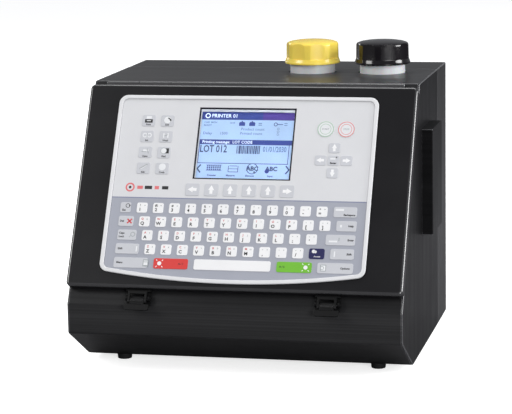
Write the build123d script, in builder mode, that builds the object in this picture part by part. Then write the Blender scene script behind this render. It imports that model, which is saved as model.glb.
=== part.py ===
from build123d import *
import math
import os

# Benchtop inkjet date coder: a cabinet with a sloped, top-hinged control door, two filler
# caps on its top, a fan hood on its right side, and the ink system and electronics inside.
# Millimetres. +Z up, +X to the right and -Y to the front of somebody facing the keyboard.
# The origin is the centre of the whole object's box, on the surface that it stands on.

os.makedirs("parts", exist_ok=True)

# ---- driving dimensions -------------------------------------------------------------------
cab_width = 408.0
cab_depth = 377.0
cab_height = 333.0
foot_height = 7.0
foot_radius = 9.5
sheet = 2.0
bend_radius = 4.0
slope_deg = 30.0            # lean of the control front, from the vertical
bend_height = 81.0          # where the upright front turns into the slope
chamfer_depth = 80.0        # the undercut along the bottom of the front
chamfer_height = 44.5
seam_setback = 80.0         # depth of the rear cover

door_width = 409.0
door_low = 18.5             # door's lower and upper edges, measured up the slope
door_high = 281.0
door_face = 14.5            # door's outer face, measured out from the slope
door_rim = 2.5              # door's rear rim, measured out from the slope

panel_width = 323.5
panel_middle = -2.7
panel_top = 265.5
panel_low_corner = 38.5
panel_low_middle = 25.7
key_pitch = 20.1
key_size = 13.2
key_row_pitch = 17.5
key_corner = 2.4
key_lift = 0.5

tank_pitch = 90.0
neck_x = 49.0
neck_y = 262.5
neck_radius = 28.5
neck_height = 30.0

hood_out = 14.0
hood_front = 155.0
hood_rear = 235.0
hood_low = 145.5
hood_high = 276.0

latch_x = 115.0
latch_width = 30.0
gland_out = 28.0
latch_out = 14.0

# ---- the cabinet's own coordinates --------------------------------------------------------
slope = math.radians(slope_deg)
slope_rise = cab_height - bend_height
slope_run = slope_rise * math.tan(slope)
slope_length = slope_rise / math.cos(slope)
seam_y = cab_depth - seam_setback
half_inside = cab_width / 2 - sheet
cab_x = -(cab_width / 2 + hood_out - door_width / 2) / 2
front_y = -(cab_depth + gland_out - latch_out) / 2


def cab(x, y, z):
    """A point given from the cabinet's centre line, its front face and its underside."""
    return (cab_x + x, front_y + y, foot_height + z)


slope_plane = Plane(
    origin=cab(0, 0, bend_height),
    x_dir=(1, 0, 0),
    z_dir=(0, -math.cos(slope), math.sin(slope)),
)


def section_at(x):
    """Plane across the slope at x: its own x runs up the slope and its own y runs outwards."""
    return Plane(
        origin=cab(x, 0, bend_height),
        x_dir=(0, math.sin(slope), math.cos(slope)),
        z_dir=(1, 0, 0),
    )


def side_plane(x):
    """Upright plane facing +X: its own x is the cabinet's depth and its own y its height."""
    return Plane(origin=cab(x, 0, 0), x_dir=(0, 1, 0), z_dir=(1, 0, 0))


def rear_plane(y):
    """Upright plane facing +Y, whose own x runs towards -X and own y runs up."""
    return Plane(origin=cab(0, y, 0), x_dir=(-1, 0, 0), z_dir=(0, 1, 0))


def level_plane(z):
    """Level plane whose own x and y are the cabinet's."""
    return Plane(origin=cab(0, 0, z), x_dir=(1, 0, 0), z_dir=(0, 0, 1))


def block(xs, ys, zs, mode=Mode.ADD):
    """A box between two x, two y and two z values of the cabinet."""
    middle = cab(sum(xs) / 2, sum(ys) / 2, sum(zs) / 2)
    with Locations(middle):
        Box(xs[1] - xs[0], ys[1] - ys[0], zs[1] - zs[0], mode=mode)


def slab(xs, ss, outs, radius=0.0, mode=Mode.ADD):
    """A plate on the slope, between two x, two up-slope and two outward values."""
    with BuildSketch(slope_plane.offset(outs[0])) as plate:
        with Locations(((xs[0] + xs[1]) / 2, (ss[0] + ss[1]) / 2)):
            if radius > 0:
                RectangleRounded(xs[1] - xs[0], ss[1] - ss[0], radius)
            else:
                Rectangle(xs[1] - xs[0], ss[1] - ss[0])
    extrude(plate.sketch, amount=outs[1] - outs[0], mode=mode)


def rod(plane, places, radius, length, mode=Mode.ADD):
    """Round bars of one radius and length that stand on a plane at the given places."""
    with BuildSketch(plane) as ends:
        with Locations(*places):
            Circle(radius)
    extrude(ends.sketch, amount=length, mode=mode)


# ---- cabinet ------------------------------------------------------------------------------
neck_places = [(neck_x, neck_y), (neck_x + tank_pitch, neck_y)]
foot_places = [(-160, 90), (160, 90), (-160, 337), (160, 337)]
front_feet = foot_places[:2]
rear_feet = foot_places[2:]
outline = [
    (seam_y, 0),
    (chamfer_depth, 0),
    (0, chamfer_height),
    (0, bend_height),
    (slope_run, cab_height),
    (seam_y, cab_height),
]
opening_half = 186.0
opening_low = 30.0
opening_high = 264.0
neck_hole_radius = 30.5
stud_radius = 2.5
stud_hole_radius = 2.7

# One sheet, folded from the floor up the front, the slope and over the top. The door's
# opening is cut in the slope.
with BuildPart() as cabinet_wrapper:
    with BuildSketch(side_plane(-half_inside)) as wrapper_outline:
        with BuildLine():
            Polyline(*outline, close=True)
        make_face()
        bends = [v for v in wrapper_outline.vertices() if v.Y < front_y + seam_y - 1]
        fillet(bends, bend_radius)
    extrude(amount=2 * half_inside)
    with BuildSketch(side_plane(-half_inside)) as wrapper_inside:
        with BuildLine():
            Polyline(*outline, close=True)
        make_face()
        bends = [v for v in wrapper_inside.vertices() if v.Y < front_y + seam_y - 1]
        fillet(bends, bend_radius)
        offset(amount=-sheet, mode=Mode.REPLACE)
    extrude(amount=2 * half_inside, mode=Mode.SUBTRACT)
    block(
        (-half_inside, half_inside),
        (seam_y - 2 * sheet, seam_y + 1),
        (sheet, cab_height - sheet),
        Mode.SUBTRACT,
    )
    slab(
        (-opening_half, opening_half),
        (opening_low, opening_high),
        (-2 * sheet, sheet),
        radius=6,
        mode=Mode.SUBTRACT,
    )
    rod(level_plane(cab_height - 2 * sheet), neck_places, neck_hole_radius, 20, Mode.SUBTRACT)
    rod(level_plane(-1), front_feet, stud_hole_radius, 2 * sheet, Mode.SUBTRACT)
cabinet_wrapper.part.label = "cabinet_wrapper"
export_step(cabinet_wrapper.part, "parts/cabinet_wrapper.step")

with BuildPart() as left_side_panel:
    with BuildSketch(side_plane(-cab_width / 2)) as left_outline:
        with BuildLine():
            Polyline(*outline, close=True)
        make_face()
        bends = [v for v in left_outline.vertices() if v.Y < front_y + seam_y - 1]
        fillet(bends, bend_radius)
    extrude(amount=sheet)
left_side_panel.part.label = "left_side_panel"
export_step(left_side_panel.part, "parts/left_side_panel.step")

fan_y = (hood_front + hood_rear) / 2
fan_z = 222.0
fan_size = 80.0
fan_depth = 25.0
fan_bore = 38.0
fan_screw_half = 35.75
fan_screw_places = [
    (fan_y + a * fan_screw_half, fan_z + b * fan_screw_half) for a in (-1, 1) for b in (-1, 1)
]

with BuildPart() as right_side_panel:
    with BuildSketch(side_plane(half_inside)) as right_outline:
        with BuildLine():
            Polyline(*outline, close=True)
        make_face()
        bends = [v for v in right_outline.vertices() if v.Y < front_y + seam_y - 1]
        fillet(bends, bend_radius)
    extrude(amount=sheet)
    rod(side_plane(half_inside - 1), [(fan_y, fan_z)], fan_bore, 2 * sheet, Mode.SUBTRACT)
    rod(side_plane(half_inside - 1), fan_screw_places, 2.2, 2 * sheet, Mode.SUBTRACT)
right_side_panel.part.label = "right_side_panel"
export_step(right_side_panel.part, "parts/right_side_panel.step")

# The rear cover is a shallow box that closes the back. The inlet, the gland and the
# sockets go through its rear wall, and four screws hold it to posts.
post_places = [(x, z) for x in (-182, 182) for z in (24, 309)]
gland_place = (120.0, 245.0)
gland_thread_radius = 18.0
inlet_place = (120.0, 70.0)
inlet_hole = (27.0, 57.0)
socket_places = [(120.0 - 34.0 * i, 150.0) for i in range(3)]
socket_radius = 8.0
rear_inside = cab_depth - sheet

with BuildPart() as rear_cover:
    block((-cab_width / 2, cab_width / 2), (seam_y, cab_depth), (0, cab_height))
    rear_corners = rear_cover.edges().filter_by(Axis.Z).group_by(Axis.Y)[-1]
    fillet(rear_corners, 2.5)
    block(
        (-half_inside, half_inside),
        (seam_y - 1, rear_inside),
        (sheet, cab_height - sheet),
        Mode.SUBTRACT,
    )
    rod(rear_plane(rear_inside - 1), post_places, 2.25, 2 * sheet, Mode.SUBTRACT)
    rod(rear_plane(rear_inside - 1), [gland_place], gland_thread_radius + 0.3, 2 * sheet,
        Mode.SUBTRACT)
    rod(rear_plane(rear_inside - 1), socket_places, socket_radius + 0.2, 2 * sheet,
        Mode.SUBTRACT)
    with BuildSketch(rear_plane(rear_inside - 1)):
        with Locations(inlet_place):
            Rectangle(inlet_hole[0] + 0.6, inlet_hole[1] + 0.6)
    extrude(amount=2 * sheet, mode=Mode.SUBTRACT)
    rod(level_plane(-1), rear_feet, stud_hole_radius, 2 * sheet, Mode.SUBTRACT)
rear_cover.part.label = "rear_cover"
export_step(rear_cover.part, "parts/rear_cover.step")

# A ring inside the seam stiffens both halves. Its corner plates carry the posts that the
# rear cover is screwed to.
ring_gap = 0.1
ring_front = seam_y - 5.0
ring_rear = seam_y + 12.0
post_radius = 5.0
with BuildPart() as seam_ring:
    block(
        (-half_inside + ring_gap, half_inside - ring_gap),
        (ring_front, ring_rear),
        (sheet + ring_gap, cab_height - sheet - ring_gap),
    )
    block(
        (-half_inside + 2 * sheet, half_inside - 2 * sheet),
        (ring_front - 1, ring_rear + 1),
        (3 * sheet, cab_height - 3 * sheet),
        Mode.SUBTRACT,
    )
    for side in (-1, 1):
        for low, high in ((sheet + 1, 36), (297, cab_height - sheet - 1)):
            xs = sorted((side * (half_inside - 1), side * 170))
            block(xs, (ring_rear - 4, ring_rear), (low, high))
    rod(rear_plane(ring_rear), post_places, post_radius, rear_inside - ring_rear)
    rod(rear_plane(rear_inside - 14), post_places, 2.05, 15, Mode.SUBTRACT)
seam_ring.part.label = "seam_ring"
export_step(seam_ring.part, "parts/seam_ring.step")

with BuildPart() as cover_screws:
    rod(rear_plane(cab_depth), post_places, 4.2, 2.4)
    rod(rear_plane(cab_depth - 12), post_places, 2.0, 12.5)
    with BuildSketch(rear_plane(cab_depth + 1.2)):
        with Locations(*post_places):
            Rectangle(5.5, 1.0)
            Rectangle(1.0, 5.5)
    extrude(amount=2, mode=Mode.SUBTRACT)
cover_screws.part.label = "cover_screws"
export_step(cover_screws.part, "parts/cover_screws.step")

with BuildPart() as feet:
    with BuildSketch(level_plane(-foot_height)):
        with Locations(*foot_places):
            Circle(foot_radius - 0.8)
    extrude(amount=foot_height, taper=-math.degrees(math.atan(0.8 / foot_height)))
    rod(level_plane(-1), foot_places, stud_radius, 13)
feet.part.label = "feet"
export_step(feet.part, "parts/feet.step")

with BuildPart() as foot_nuts:
    with BuildSketch(level_plane(sheet)):
        with Locations(*foot_places):
            RegularPolygon(4.6, 6)
            Circle(stud_radius + 0.1, mode=Mode.SUBTRACT)
    extrude(amount=4)
foot_nuts.part.label = "foot_nuts"
export_step(foot_nuts.part, "parts/foot_nuts.step")

# Foam strip on the slope, under the door's rim.
gasket_width = 9.0
with BuildPart() as door_gasket:
    slab((-203, 203), (door_low + 1, door_high - 2), (0, door_rim - 0.3), radius=5)
    slab(
        (-203 + gasket_width, 203 - gasket_width),
        (door_low + 1 + gasket_width, door_high - 2 - gasket_width),
        (-1, door_rim),
        radius=3,
        mode=Mode.SUBTRACT,
    )
door_gasket.part.label = "door_gasket"
export_step(door_gasket.part, "parts/door_gasket.step")

# ---- fan and its hood ---------------------------------------------------------------------
hood_sheet = 1.5
with BuildPart() as side_hood:
    block(
        (cab_width / 2, cab_width / 2 + hood_out),
        (hood_front, hood_rear),
        (hood_low, hood_high),
    )
    hood_rims = side_hood.edges().group_by(Axis.X)[-1]
    fillet(hood_rims, 1.2)
    block(
        (cab_width / 2 - 1, cab_width / 2 + hood_out - hood_sheet),
        (hood_front + hood_sheet, hood_rear - hood_sheet),
        (hood_low - 1, hood_high - hood_sheet),
        Mode.SUBTRACT,
    )
side_hood.part.label = "side_hood"
export_step(side_hood.part, "parts/side_hood.step")

fan_inner_x = half_inside - fan_depth
hub_radius = 17.0
fan_shaft_radius = 1.5
with BuildPart() as fan_frame:
    with BuildSketch(side_plane(fan_inner_x)):
        with Locations((fan_y, fan_z)):
            RectangleRounded(fan_size, fan_size, 4)
            Circle(fan_bore, mode=Mode.SUBTRACT)
        with Locations(*fan_screw_places):
            Circle(2.2, mode=Mode.SUBTRACT)
    extrude(amount=fan_depth)
    with BuildSketch(side_plane(fan_inner_x)):
        with Locations((fan_y, fan_z)):
            Circle(hub_radius)
            Rectangle(2 * fan_bore + 1, 4)
            Rectangle(4, 2 * fan_bore + 1)
            Circle(fan_shaft_radius + 0.05, mode=Mode.SUBTRACT)
    extrude(amount=3)
fan_frame.part.label = "fan_frame"
export_step(fan_frame.part, "parts/fan_frame.step")

blade_count = 7
rotor_clear = 1.5
with BuildPart() as fan_rotor:
    rod(side_plane(fan_inner_x + 4), [(fan_y, fan_z)], hub_radius - 0.5, 17)
    rod(side_plane(fan_inner_x + 0.5), [(fan_y, fan_z)], fan_shaft_radius, 4)
    blade_root = Plane(
        origin=cab(fan_inner_x + 12.5, fan_y, fan_z), x_dir=(1, 0, 0), z_dir=(0, 0, 1)
    )
    for k in range(blade_count):
        turned = blade_root.rotated((360 / blade_count * k, 0, 0))
        with BuildSketch(turned.offset(hub_radius - 2)):
            with Locations(Location((0, 0, 0), (0, 0, 38))):
                Rectangle(17, 1.6)
        extrude(amount=fan_bore - rotor_clear - hub_radius + 1)
fan_rotor.part.label = "fan_rotor"
export_step(fan_rotor.part, "parts/fan_rotor.step")

with BuildPart() as fan_screws:
    rod(side_plane(fan_inner_x - 2.5), fan_screw_places, 3.6, 2.5)
    rod(side_plane(fan_inner_x - 1), fan_screw_places, 2.0, fan_depth + 9)
fan_screws.part.label = "fan_screws"
export_step(fan_screws.part, "parts/fan_screws.step")

# ---- door ---------------------------------------------------------------------------------
door_half = door_width / 2
lcd_low = 157.2
lcd_high = 250.5
lcd_left = -61.5
lcd_right = 59.0

with BuildPart() as front_door:
    slab((-door_half, door_half), (door_low, door_high), (door_rim, door_face), radius=6)
    door_front = front_door.faces().sort_by(Axis(cab(0, 0, 0), slope_plane.z_dir))[-1]
    fillet(door_front.edges(), 3.5)
    slab(
        (-door_half + sheet, door_half - sheet),
        (door_low + sheet, door_high - sheet),
        (door_rim - 1, door_face - sheet),
        radius=4,
        mode=Mode.SUBTRACT,
    )
    slab(
        (lcd_left + 2, lcd_right - 2),
        (lcd_low + 2, lcd_high - 2),
        (door_face - 2 * sheet, door_face + 1),
        mode=Mode.SUBTRACT,
    )
front_door.part.label = "front_door"
export_step(front_door.part, "parts/front_door.step")

# The control panel on the door: a raised rim, and a printed film inside it.
rim_width = 5.0
rim_top = door_face + 2.6
film_top = door_face + 1.2
panel_half = panel_width / 2


def panel_outline(inset):
    """The panel's outline: straight at the top and sides, with a bowed lower edge."""
    half = panel_half - inset
    low = panel_low_corner + inset
    middle = panel_low_middle + inset
    top = panel_top - inset
    with BuildLine() as border:
        bowed = ThreePointArc((-half, low), (0, middle), (half, low))
        Line(bowed @ 1, (half, top))
        Line((half, top), (-half, top))
        Line((-half, top), bowed @ 0)
    make_face(border.edges())


panel_plane = Plane(
    origin=slope_plane.from_local_coords(Vector(panel_middle, 0, 0)),
    x_dir=(1, 0, 0),
    z_dir=slope_plane.z_dir,
)

with BuildPart() as panel_rim:
    with BuildSketch(panel_plane.offset(door_face)) as rim_outer:
        panel_outline(0)
        fillet(rim_outer.vertices(), 11)
    extrude(amount=rim_top - door_face)
    rim_face = panel_rim.faces().sort_by(Axis(cab(0, 0, 0), slope_plane.z_dir))[-1]
    fillet(rim_face.edges(), 1.2)
    with BuildSketch(panel_plane.offset(door_face)) as rim_inner:
        panel_outline(rim_width)
        fillet(rim_inner.vertices(), 7)
    extrude(amount=rim_top, mode=Mode.SUBTRACT)
panel_rim.part.label = "panel_rim"
export_step(panel_rim.part, "parts/panel_rim.step")

with BuildPart() as panel_film:
    with BuildSketch(panel_plane.offset(door_face)) as film_outline:
        panel_outline(rim_width + 0.2)
        fillet(film_outline.vertices(), 6.8)
    extrude(amount=film_top - door_face)
    slab((lcd_left, lcd_right), (lcd_low, lcd_high), (door_face - 1, film_top + 1), radius=1,
         mode=Mode.SUBTRACT)
panel_film.part.label = "panel_film"
export_step(panel_film.part, "parts/panel_film.step")

with BuildPart() as lcd_window:
    slab((lcd_left + 0.2, lcd_right - 0.2), (lcd_low + 0.2, lcd_high - 0.2),
         (door_face, door_face + 0.7), radius=0.8)
lcd_window.part.label = "lcd_window"
export_step(lcd_window.part, "parts/lcd_window.step")


def key(x, s, width, height=key_size):
    """One embossed key area, a rounded pad that stands on the film."""
    with BuildSketch(slope_plane.offset(film_top)) as pad:
        with Locations((x, s)):
            RectangleRounded(width, height, key_corner)
    extrude(pad.sketch, amount=key_lift, taper=20)


row_top = 118.8
row_starts = [-119.9, -115.0, -109.6, -104.3]
row_counts = [12, 12, 11, 10]
row_heights = [row_top - key_row_pitch * i for i in range(5)]
bottom_row = row_heights[4]

with BuildPart() as letter_keys:
    for start, count, height in zip(row_starts, row_counts, row_heights):
        for k in range(count):
            key(start + k * key_pitch, height, key_size)
    key(-1.5, bottom_row, 93.5)
letter_keys.part.label = "letter_keys"
export_step(letter_keys.part, "parts/letter_keys.step")

arrow_x = 109.4
arrow_s = 184.0
with BuildPart() as grey_keys:
    key(-140.5, row_heights[0], key_size)
    key(129.3, row_heights[0], 28)
    key(-138.0, row_heights[1], 18.8)
    key(132.0, row_heights[1], 24.3)
    key(-134.8, row_heights[2], 23.6)
    key(126.2, row_heights[2], 35.5)
    key(-132.5, row_heights[3], 29.3)
    key(129.6, row_heights[3], 28.5)
    key(-126.2, bottom_row, 42.1)
    key(122.7, bottom_row, 42.9)
    for column in (-124.2, -100.6):
        for k in range(4):
            key(column, 232.0 - 20.7 * k, 16.5, 15.0)
    for k in range(6):
        key(-59.8 + 23.25 * k, 143.5, 17.5, 16.0)
    for across, up in ((0, 0), (-1, 0), (1, 0), (0, 1), (0, -1)):
        key(arrow_x + 15.7 * across, arrow_s + 16.0 * up, 14.0, 13.0)
grey_keys.part.label = "grey_keys"
export_step(grey_keys.part, "parts/grey_keys.step")

with BuildPart() as red_key:
    key(-76.6, bottom_row, 42.5)
red_key.part.label = "red_key"
export_step(red_key.part, "parts/red_key.step")

with BuildPart() as green_key:
    key(73.6, bottom_row, 42.5)
green_key.part.label = "green_key"
export_step(green_key.part, "parts/green_key.step")

with BuildPart() as navy_key:
    key(99.3, row_heights[3], 18.8)
navy_key.part.label = "navy_key"
export_step(navy_key.part, "parts/navy_key.step")

round_key_radius = 10.1
with BuildPart() as round_keys:
    rod(slope_plane.offset(film_top), [(96.7, 224.0), (121.9, 224.0)], round_key_radius,
        key_lift)
round_keys.part.label = "round_keys"
export_step(round_keys.part, "parts/round_keys.step")

# Behind the door's face: the display, its frame of bosses, and the keyboard's board.
lcd_middle_x = (lcd_left + lcd_right) / 2
lcd_middle_s = (lcd_low + lcd_high) / 2
lcd_front = door_face - sheet
board_front = -2.0
with BuildPart() as lcd_module:
    slab((lcd_middle_x - 72, lcd_middle_x + 72), (lcd_middle_s - 52, lcd_middle_s + 52),
         (lcd_front - 8, lcd_front), radius=2)
    slab((lcd_middle_x - 60, lcd_middle_x + 60), (lcd_middle_s - 40, lcd_middle_s + 40),
         (lcd_front - 10, lcd_front - 8), radius=2)
lcd_module.part.label = "lcd_module"
export_step(lcd_module.part, "parts/lcd_module.step")

boss_places = [(x, s) for x in (-140, -90, 90, 140) for s in (60, 230)]
with BuildPart() as board_bosses:
    with BuildSketch(slope_plane.offset(board_front)):
        with Locations(*boss_places):
            RegularPolygon(4, 6)
    extrude(amount=lcd_front - board_front)
board_bosses.part.label = "board_bosses"
export_step(board_bosses.part, "parts/board_bosses.step")

with BuildPart() as display_board:
    slab((-150, 150), (50, 240), (board_front - 1.6, board_front), radius=3)
    for x, s, across, up, out in (
        (-90, 120, 24, 24, 3),
        (-20, 90, 18, 18, 3),
        (60, 110, 40, 14, 3),
        (110, 190, 14, 44, 6),
        (-60, 215, 60, 8, 7),
    ):
        slab((x - across / 2, x + across / 2), (s - up / 2, s + up / 2),
             (board_front - 1.6 - out, board_front - 1.6))
display_board.part.label = "display_board"
export_step(display_board.part, "parts/display_board.step")

# ---- door hinge ---------------------------------------------------------------------------
hinge_s = 285.6
hinge_out = 4.6
barrel_radius = 3.0
pin_radius = 1.5
running_gap = 0.05
leaf_sheet = 1.2
hinge_half = 186.0
knuckle_count = 9
knuckle_gap = 0.4
knuckle = 2 * hinge_half / knuckle_count
fixed_ends = [-hinge_half + k * knuckle for k in range(0, knuckle_count, 2)]
moving_ends = [-hinge_half + k * knuckle for k in range(1, knuckle_count, 2)]

with BuildPart() as hinge_leaf_fixed:
    slab((-hinge_half, hinge_half), (hinge_s - 1.5, slope_length - 1), (0, leaf_sheet))
    for start in fixed_ends:
        with BuildSketch(section_at(start + knuckle_gap / 2)):
            with Locations((hinge_s, hinge_out)):
                Circle(barrel_radius)
            with Locations((hinge_s + 1.9, hinge_out / 2 + 0.3)):
                Rectangle(leaf_sheet * 1.8, hinge_out - 0.6)
        extrude(amount=knuckle - knuckle_gap)
    rod(section_at(-hinge_half - 1), [(hinge_s, hinge_out)], pin_radius + running_gap,
        2 * hinge_half + 2, Mode.SUBTRACT)
hinge_leaf_fixed.part.label = "hinge_leaf_fixed"
export_step(hinge_leaf_fixed.part, "parts/hinge_leaf_fixed.step")

with BuildPart() as hinge_leaf_moving:
    slab((-hinge_half, hinge_half), (door_high, door_high + leaf_sheet), (door_rim + 0.5, 11))
    for start in moving_ends:
        with BuildSketch(section_at(start + knuckle_gap / 2)):
            with Locations((hinge_s, hinge_out)):
                Circle(barrel_radius)
            with Locations((door_high + 1.6, hinge_out)):
                Rectangle(3.2, 2.4)
        extrude(amount=knuckle - knuckle_gap)
    rod(section_at(-hinge_half - 1), [(hinge_s, hinge_out)], pin_radius + running_gap,
        2 * hinge_half + 2, Mode.SUBTRACT)
hinge_leaf_moving.part.label = "hinge_leaf_moving"
export_step(hinge_leaf_moving.part, "parts/hinge_leaf_moving.step")

with BuildPart() as hinge_pin:
    rod(section_at(-hinge_half - 0.5), [(hinge_s, hinge_out)], pin_radius, 2 * hinge_half + 1)
hinge_pin.part.label = "hinge_pin"
export_step(hinge_pin.part, "parts/hinge_pin.step")

# ---- draw latches -------------------------------------------------------------------------
# Each latch is a base on the cabinet, a lever on the base's pin, and a link on the lever
# that reaches up to the lug on the door. Places are (up the slope, out from the slope).
lever_pivot = (8.0, 5.0)
link_pivot = (2.5, 8.2)
latch_half = latch_width / 2
ear_inner = 12.0
arm_inner = 9.0
arm_outer = 11.7
lever_inner = 8.7
link_reach = 15.5
link_pin_radius = 1.25
latch_sides = {"left": -latch_x, "right": latch_x}

with BuildPart() as latch_lugs:
    for x in latch_sides.values():
        slab((x - latch_half, x + latch_half), (door_low - 2.6, door_low), (4.2, 6.8))
latch_lugs.part.label = "latch_lugs"
export_step(latch_lugs.part, "parts/latch_lugs.step")

with BuildPart() as latch_bases:
    for x in latch_sides.values():
        slab((x - latch_half, x + latch_half), (0.5, 17.0), (0, 1.6))
        for ear in (x - latch_half, x + ear_inner):
            with BuildSketch(section_at(ear)):
                with Locations(lever_pivot):
                    Circle(3.4)
                with Locations((lever_pivot[0], lever_pivot[1] / 2)):
                    Rectangle(6.8, lever_pivot[1])
            extrude(amount=latch_half - ear_inner)
        rod(section_at(x - latch_half - 1), [lever_pivot], pin_radius, latch_width + 2,
            Mode.SUBTRACT)
latch_bases.part.label = "latch_bases"
export_step(latch_bases.part, "parts/latch_bases.step")

with BuildPart() as latch_pins:
    for x in latch_sides.values():
        rod(section_at(x - latch_half), [lever_pivot], pin_radius, latch_width)
latch_pins.part.label = "latch_pins"
export_step(latch_pins.part, "parts/latch_pins.step")

for side, x in latch_sides.items():
    with BuildPart() as latch_lever:
        with BuildSketch(section_at(x - lever_inner)):
            with Locations(lever_pivot):
                Circle(2.9)
            with Locations(link_pivot):
                Circle(2.0)
            with BuildLine():
                Polyline((-1.5, 7.2), (2.5, 6.3), (6.4, 2.7), (10.0, 7.0), (3.2, 10.1),
                         (-1.5, 9.6), close=True)
            make_face()
        extrude(amount=2 * lever_inner)
        with BuildSketch(slope_plane.offset(7.0)):
            with Locations((x, -4.4)):
                RectangleRounded(latch_width, 7.4, 2.6)
            with Locations((x, -2.4)):
                Rectangle(latch_width, 3.4)
        extrude(amount=2.8)
        rod(section_at(x - latch_half - 1), [lever_pivot], pin_radius + running_gap,
            latch_width + 2, Mode.SUBTRACT)
        rod(section_at(x - latch_half - 1), [link_pivot], link_pin_radius + running_gap,
            latch_width + 2, Mode.SUBTRACT)
    latch_lever.part.label = f"{side}_latch_lever"
    export_step(latch_lever.part, f"parts/{side}_latch_lever.step")

    with BuildPart() as latch_link:
        for arm in (x - arm_outer, x + arm_inner):
            with BuildSketch(section_at(arm)):
                with Locations(link_pivot):
                    Circle(2.0)
                with Locations(((link_pivot[0] + link_reach) / 2, 8.35)):
                    Rectangle(link_reach - link_pivot[0], 2.9)
            extrude(amount=arm_outer - arm_inner)
        slab((x - arm_outer, x + arm_outer), (12.2, link_reach), (6.9, 9.8))
        rod(section_at(x - arm_outer), [link_pivot], link_pin_radius, 2 * arm_outer)
    latch_link.part.label = f"{side}_latch_link"
    export_step(latch_link.part, f"parts/{side}_latch_link.step")

# ---- tanks and filler caps ----------------------------------------------------------------
tank_wall = 2.5
tank_low = 120.0
tank_high = 322.0
tank_front = 205.0
tank_rear = 291.0
tank_half = 35.0
bore_radius = 25.0
cap_low = 11.4
cap_edge = 37.6
cap_top = 41.0
cap_bore = 31.0
cap_roof = 32.2
cap_body = 33.0
cap_rim = 35.1
grip_count = 8
grip_radius = 60.0          # each finger flat is very slightly hollow
grip_depth = 1.8

for k, liquid in enumerate(("ink", "solvent")):
    x = neck_x + k * tank_pitch

    with BuildPart() as tank:
        block((x - tank_half, x + tank_half), (tank_front, tank_rear), (tank_low, tank_high))
        fillet(tank.edges().filter_by(Axis.Z), 10)
        rod(level_plane(tank_high), [(x, neck_y)], neck_radius,
            cab_height + neck_height - tank_high)
        for ridge in (15.5, 20.5, 25.5):
            rod(level_plane(cab_height + ridge), [(x, neck_y)], neck_radius + 1.3, 1.8)
        block(
            (x - tank_half + tank_wall, x + tank_half - tank_wall),
            (tank_front + tank_wall, tank_rear - tank_wall),
            (tank_low + tank_wall, tank_high - tank_wall),
            Mode.SUBTRACT,
        )
        rod(level_plane(tank_high - 2 * tank_wall), [(x, neck_y)], bore_radius, 80,
            Mode.SUBTRACT)
        rod(level_plane(tank_low - 10), [(x, tank_front + 25)], 5, 10 + tank_wall)
        rod(level_plane(tank_low - 11), [(x, tank_front + 25)], 2, 15, Mode.SUBTRACT)
    tank.part.label = f"{liquid}_tank"
    export_step(tank.part, f"parts/{liquid}_tank.step")

    with BuildPart() as cap_seal:
        rod(level_plane(cab_height + neck_height + 0.1), [(x, neck_y)], 30.0, 1.8)
    cap_seal.part.label = f"{liquid}_cap_seal"
    export_step(cap_seal.part, f"parts/{liquid}_cap_seal.step")

    with BuildPart() as cap:
        cap_section = Plane(origin=cab(x, neck_y, cab_height), x_dir=(1, 0, 0), z_dir=(0, -1, 0))
        with BuildSketch(cap_section):
            with BuildLine():
                Polyline(
                    (cap_bore, cap_low),
                    (cap_rim, cap_low),
                    (cap_rim, cap_low + 2.5),
                    (cap_body + 0.7, cap_low + 6),
                    (cap_body, cap_edge - 1.5),
                    (cap_body - 1.5, cap_edge),
                    (cap_body * 0.62, cap_top - 0.8),
                    (0, cap_top),
                    (0, cap_roof),
                    (cap_bore, cap_roof),
                    close=True,
                )
            make_face()
        revolve(axis=Axis(cab(x, neck_y, 0), (0, 0, 1)))
        with BuildSketch(level_plane(cab_height + cap_low + 5)):
            with Locations((x, neck_y)):
                with PolarLocations(cap_body - grip_depth + grip_radius, grip_count,
                                    start_angle=22.5):
                    Circle(grip_radius)
        extrude(amount=40, mode=Mode.SUBTRACT)
    cap.part.label = f"{liquid}_cap"
    export_step(cap.part, f"parts/{liquid}_cap.step")

# ---- electronics --------------------------------------------------------------------------
# A folded plate stands on the floor and carries the main board on pressed-in spacers.
plate_y = 262.0
board_y = plate_y - 10
board_corners = [(x, z) for x in (180, 22) for z in (98, 302)]
with BuildPart() as electronics_plate:
    block((-196, -4), (plate_y, plate_y + 1.5), (sheet, 318))
    block((-196, -4), (plate_y, plate_y + 24), (sheet, sheet + 1.5))
    with BuildSketch(rear_plane(board_y)):
        with Locations(*board_corners):
            RegularPolygon(3.5, 6)
    extrude(amount=plate_y - board_y)
electronics_plate.part.label = "electronics_plate"
export_step(electronics_plate.part, "parts/electronics_plate.step")

with BuildPart() as main_board:
    block((-186, -16), (board_y - 1.6, board_y), (90, 310))
main_board.part.label = "main_board"
export_step(main_board.part, "parts/main_board.step")

with BuildPart() as board_components:
    for x, z, across, up, out in (
        (-150, 250, 30, 30, 4),
        (-100, 255, 22, 22, 3),
        (-60, 250, 26, 40, 14),
        (-140, 190, 14, 36, 5),
        (-110, 190, 14, 36, 5),
        (-60, 190, 40, 12, 9),
        (-130, 140, 50, 10, 10),
        (-60, 140, 60, 10, 10),
        (-35, 285, 20, 10, 12),
        (-160, 290, 34, 10, 12),
    ):
        block((x - across / 2, x + across / 2), (board_y - 1.6 - out, board_y - 1.6),
              (z - up / 2, z + up / 2))
    for x in (-160, -142, -124):
        rod(rear_plane(board_y - 15.6), [(-x, 112)], 7, 14)
board_components.part.label = "board_components"
export_step(board_components.part, "parts/board_components.step")

with BuildPart() as power_supply:
    block((-196, -100), (130, 250), (sheet, 48))
    fillet(power_supply.edges().filter_by(Axis.Z), 1.5)
    with BuildSketch(level_plane(46)):
        with Locations((-148, 190)):
            with GridLocations(8, 10, 9, 8):
                SlotOverall(6, 3)
    extrude(amount=4, mode=Mode.SUBTRACT)
power_supply.part.label = "power_supply"
export_step(power_supply.part, "parts/power_supply.step")

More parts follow.
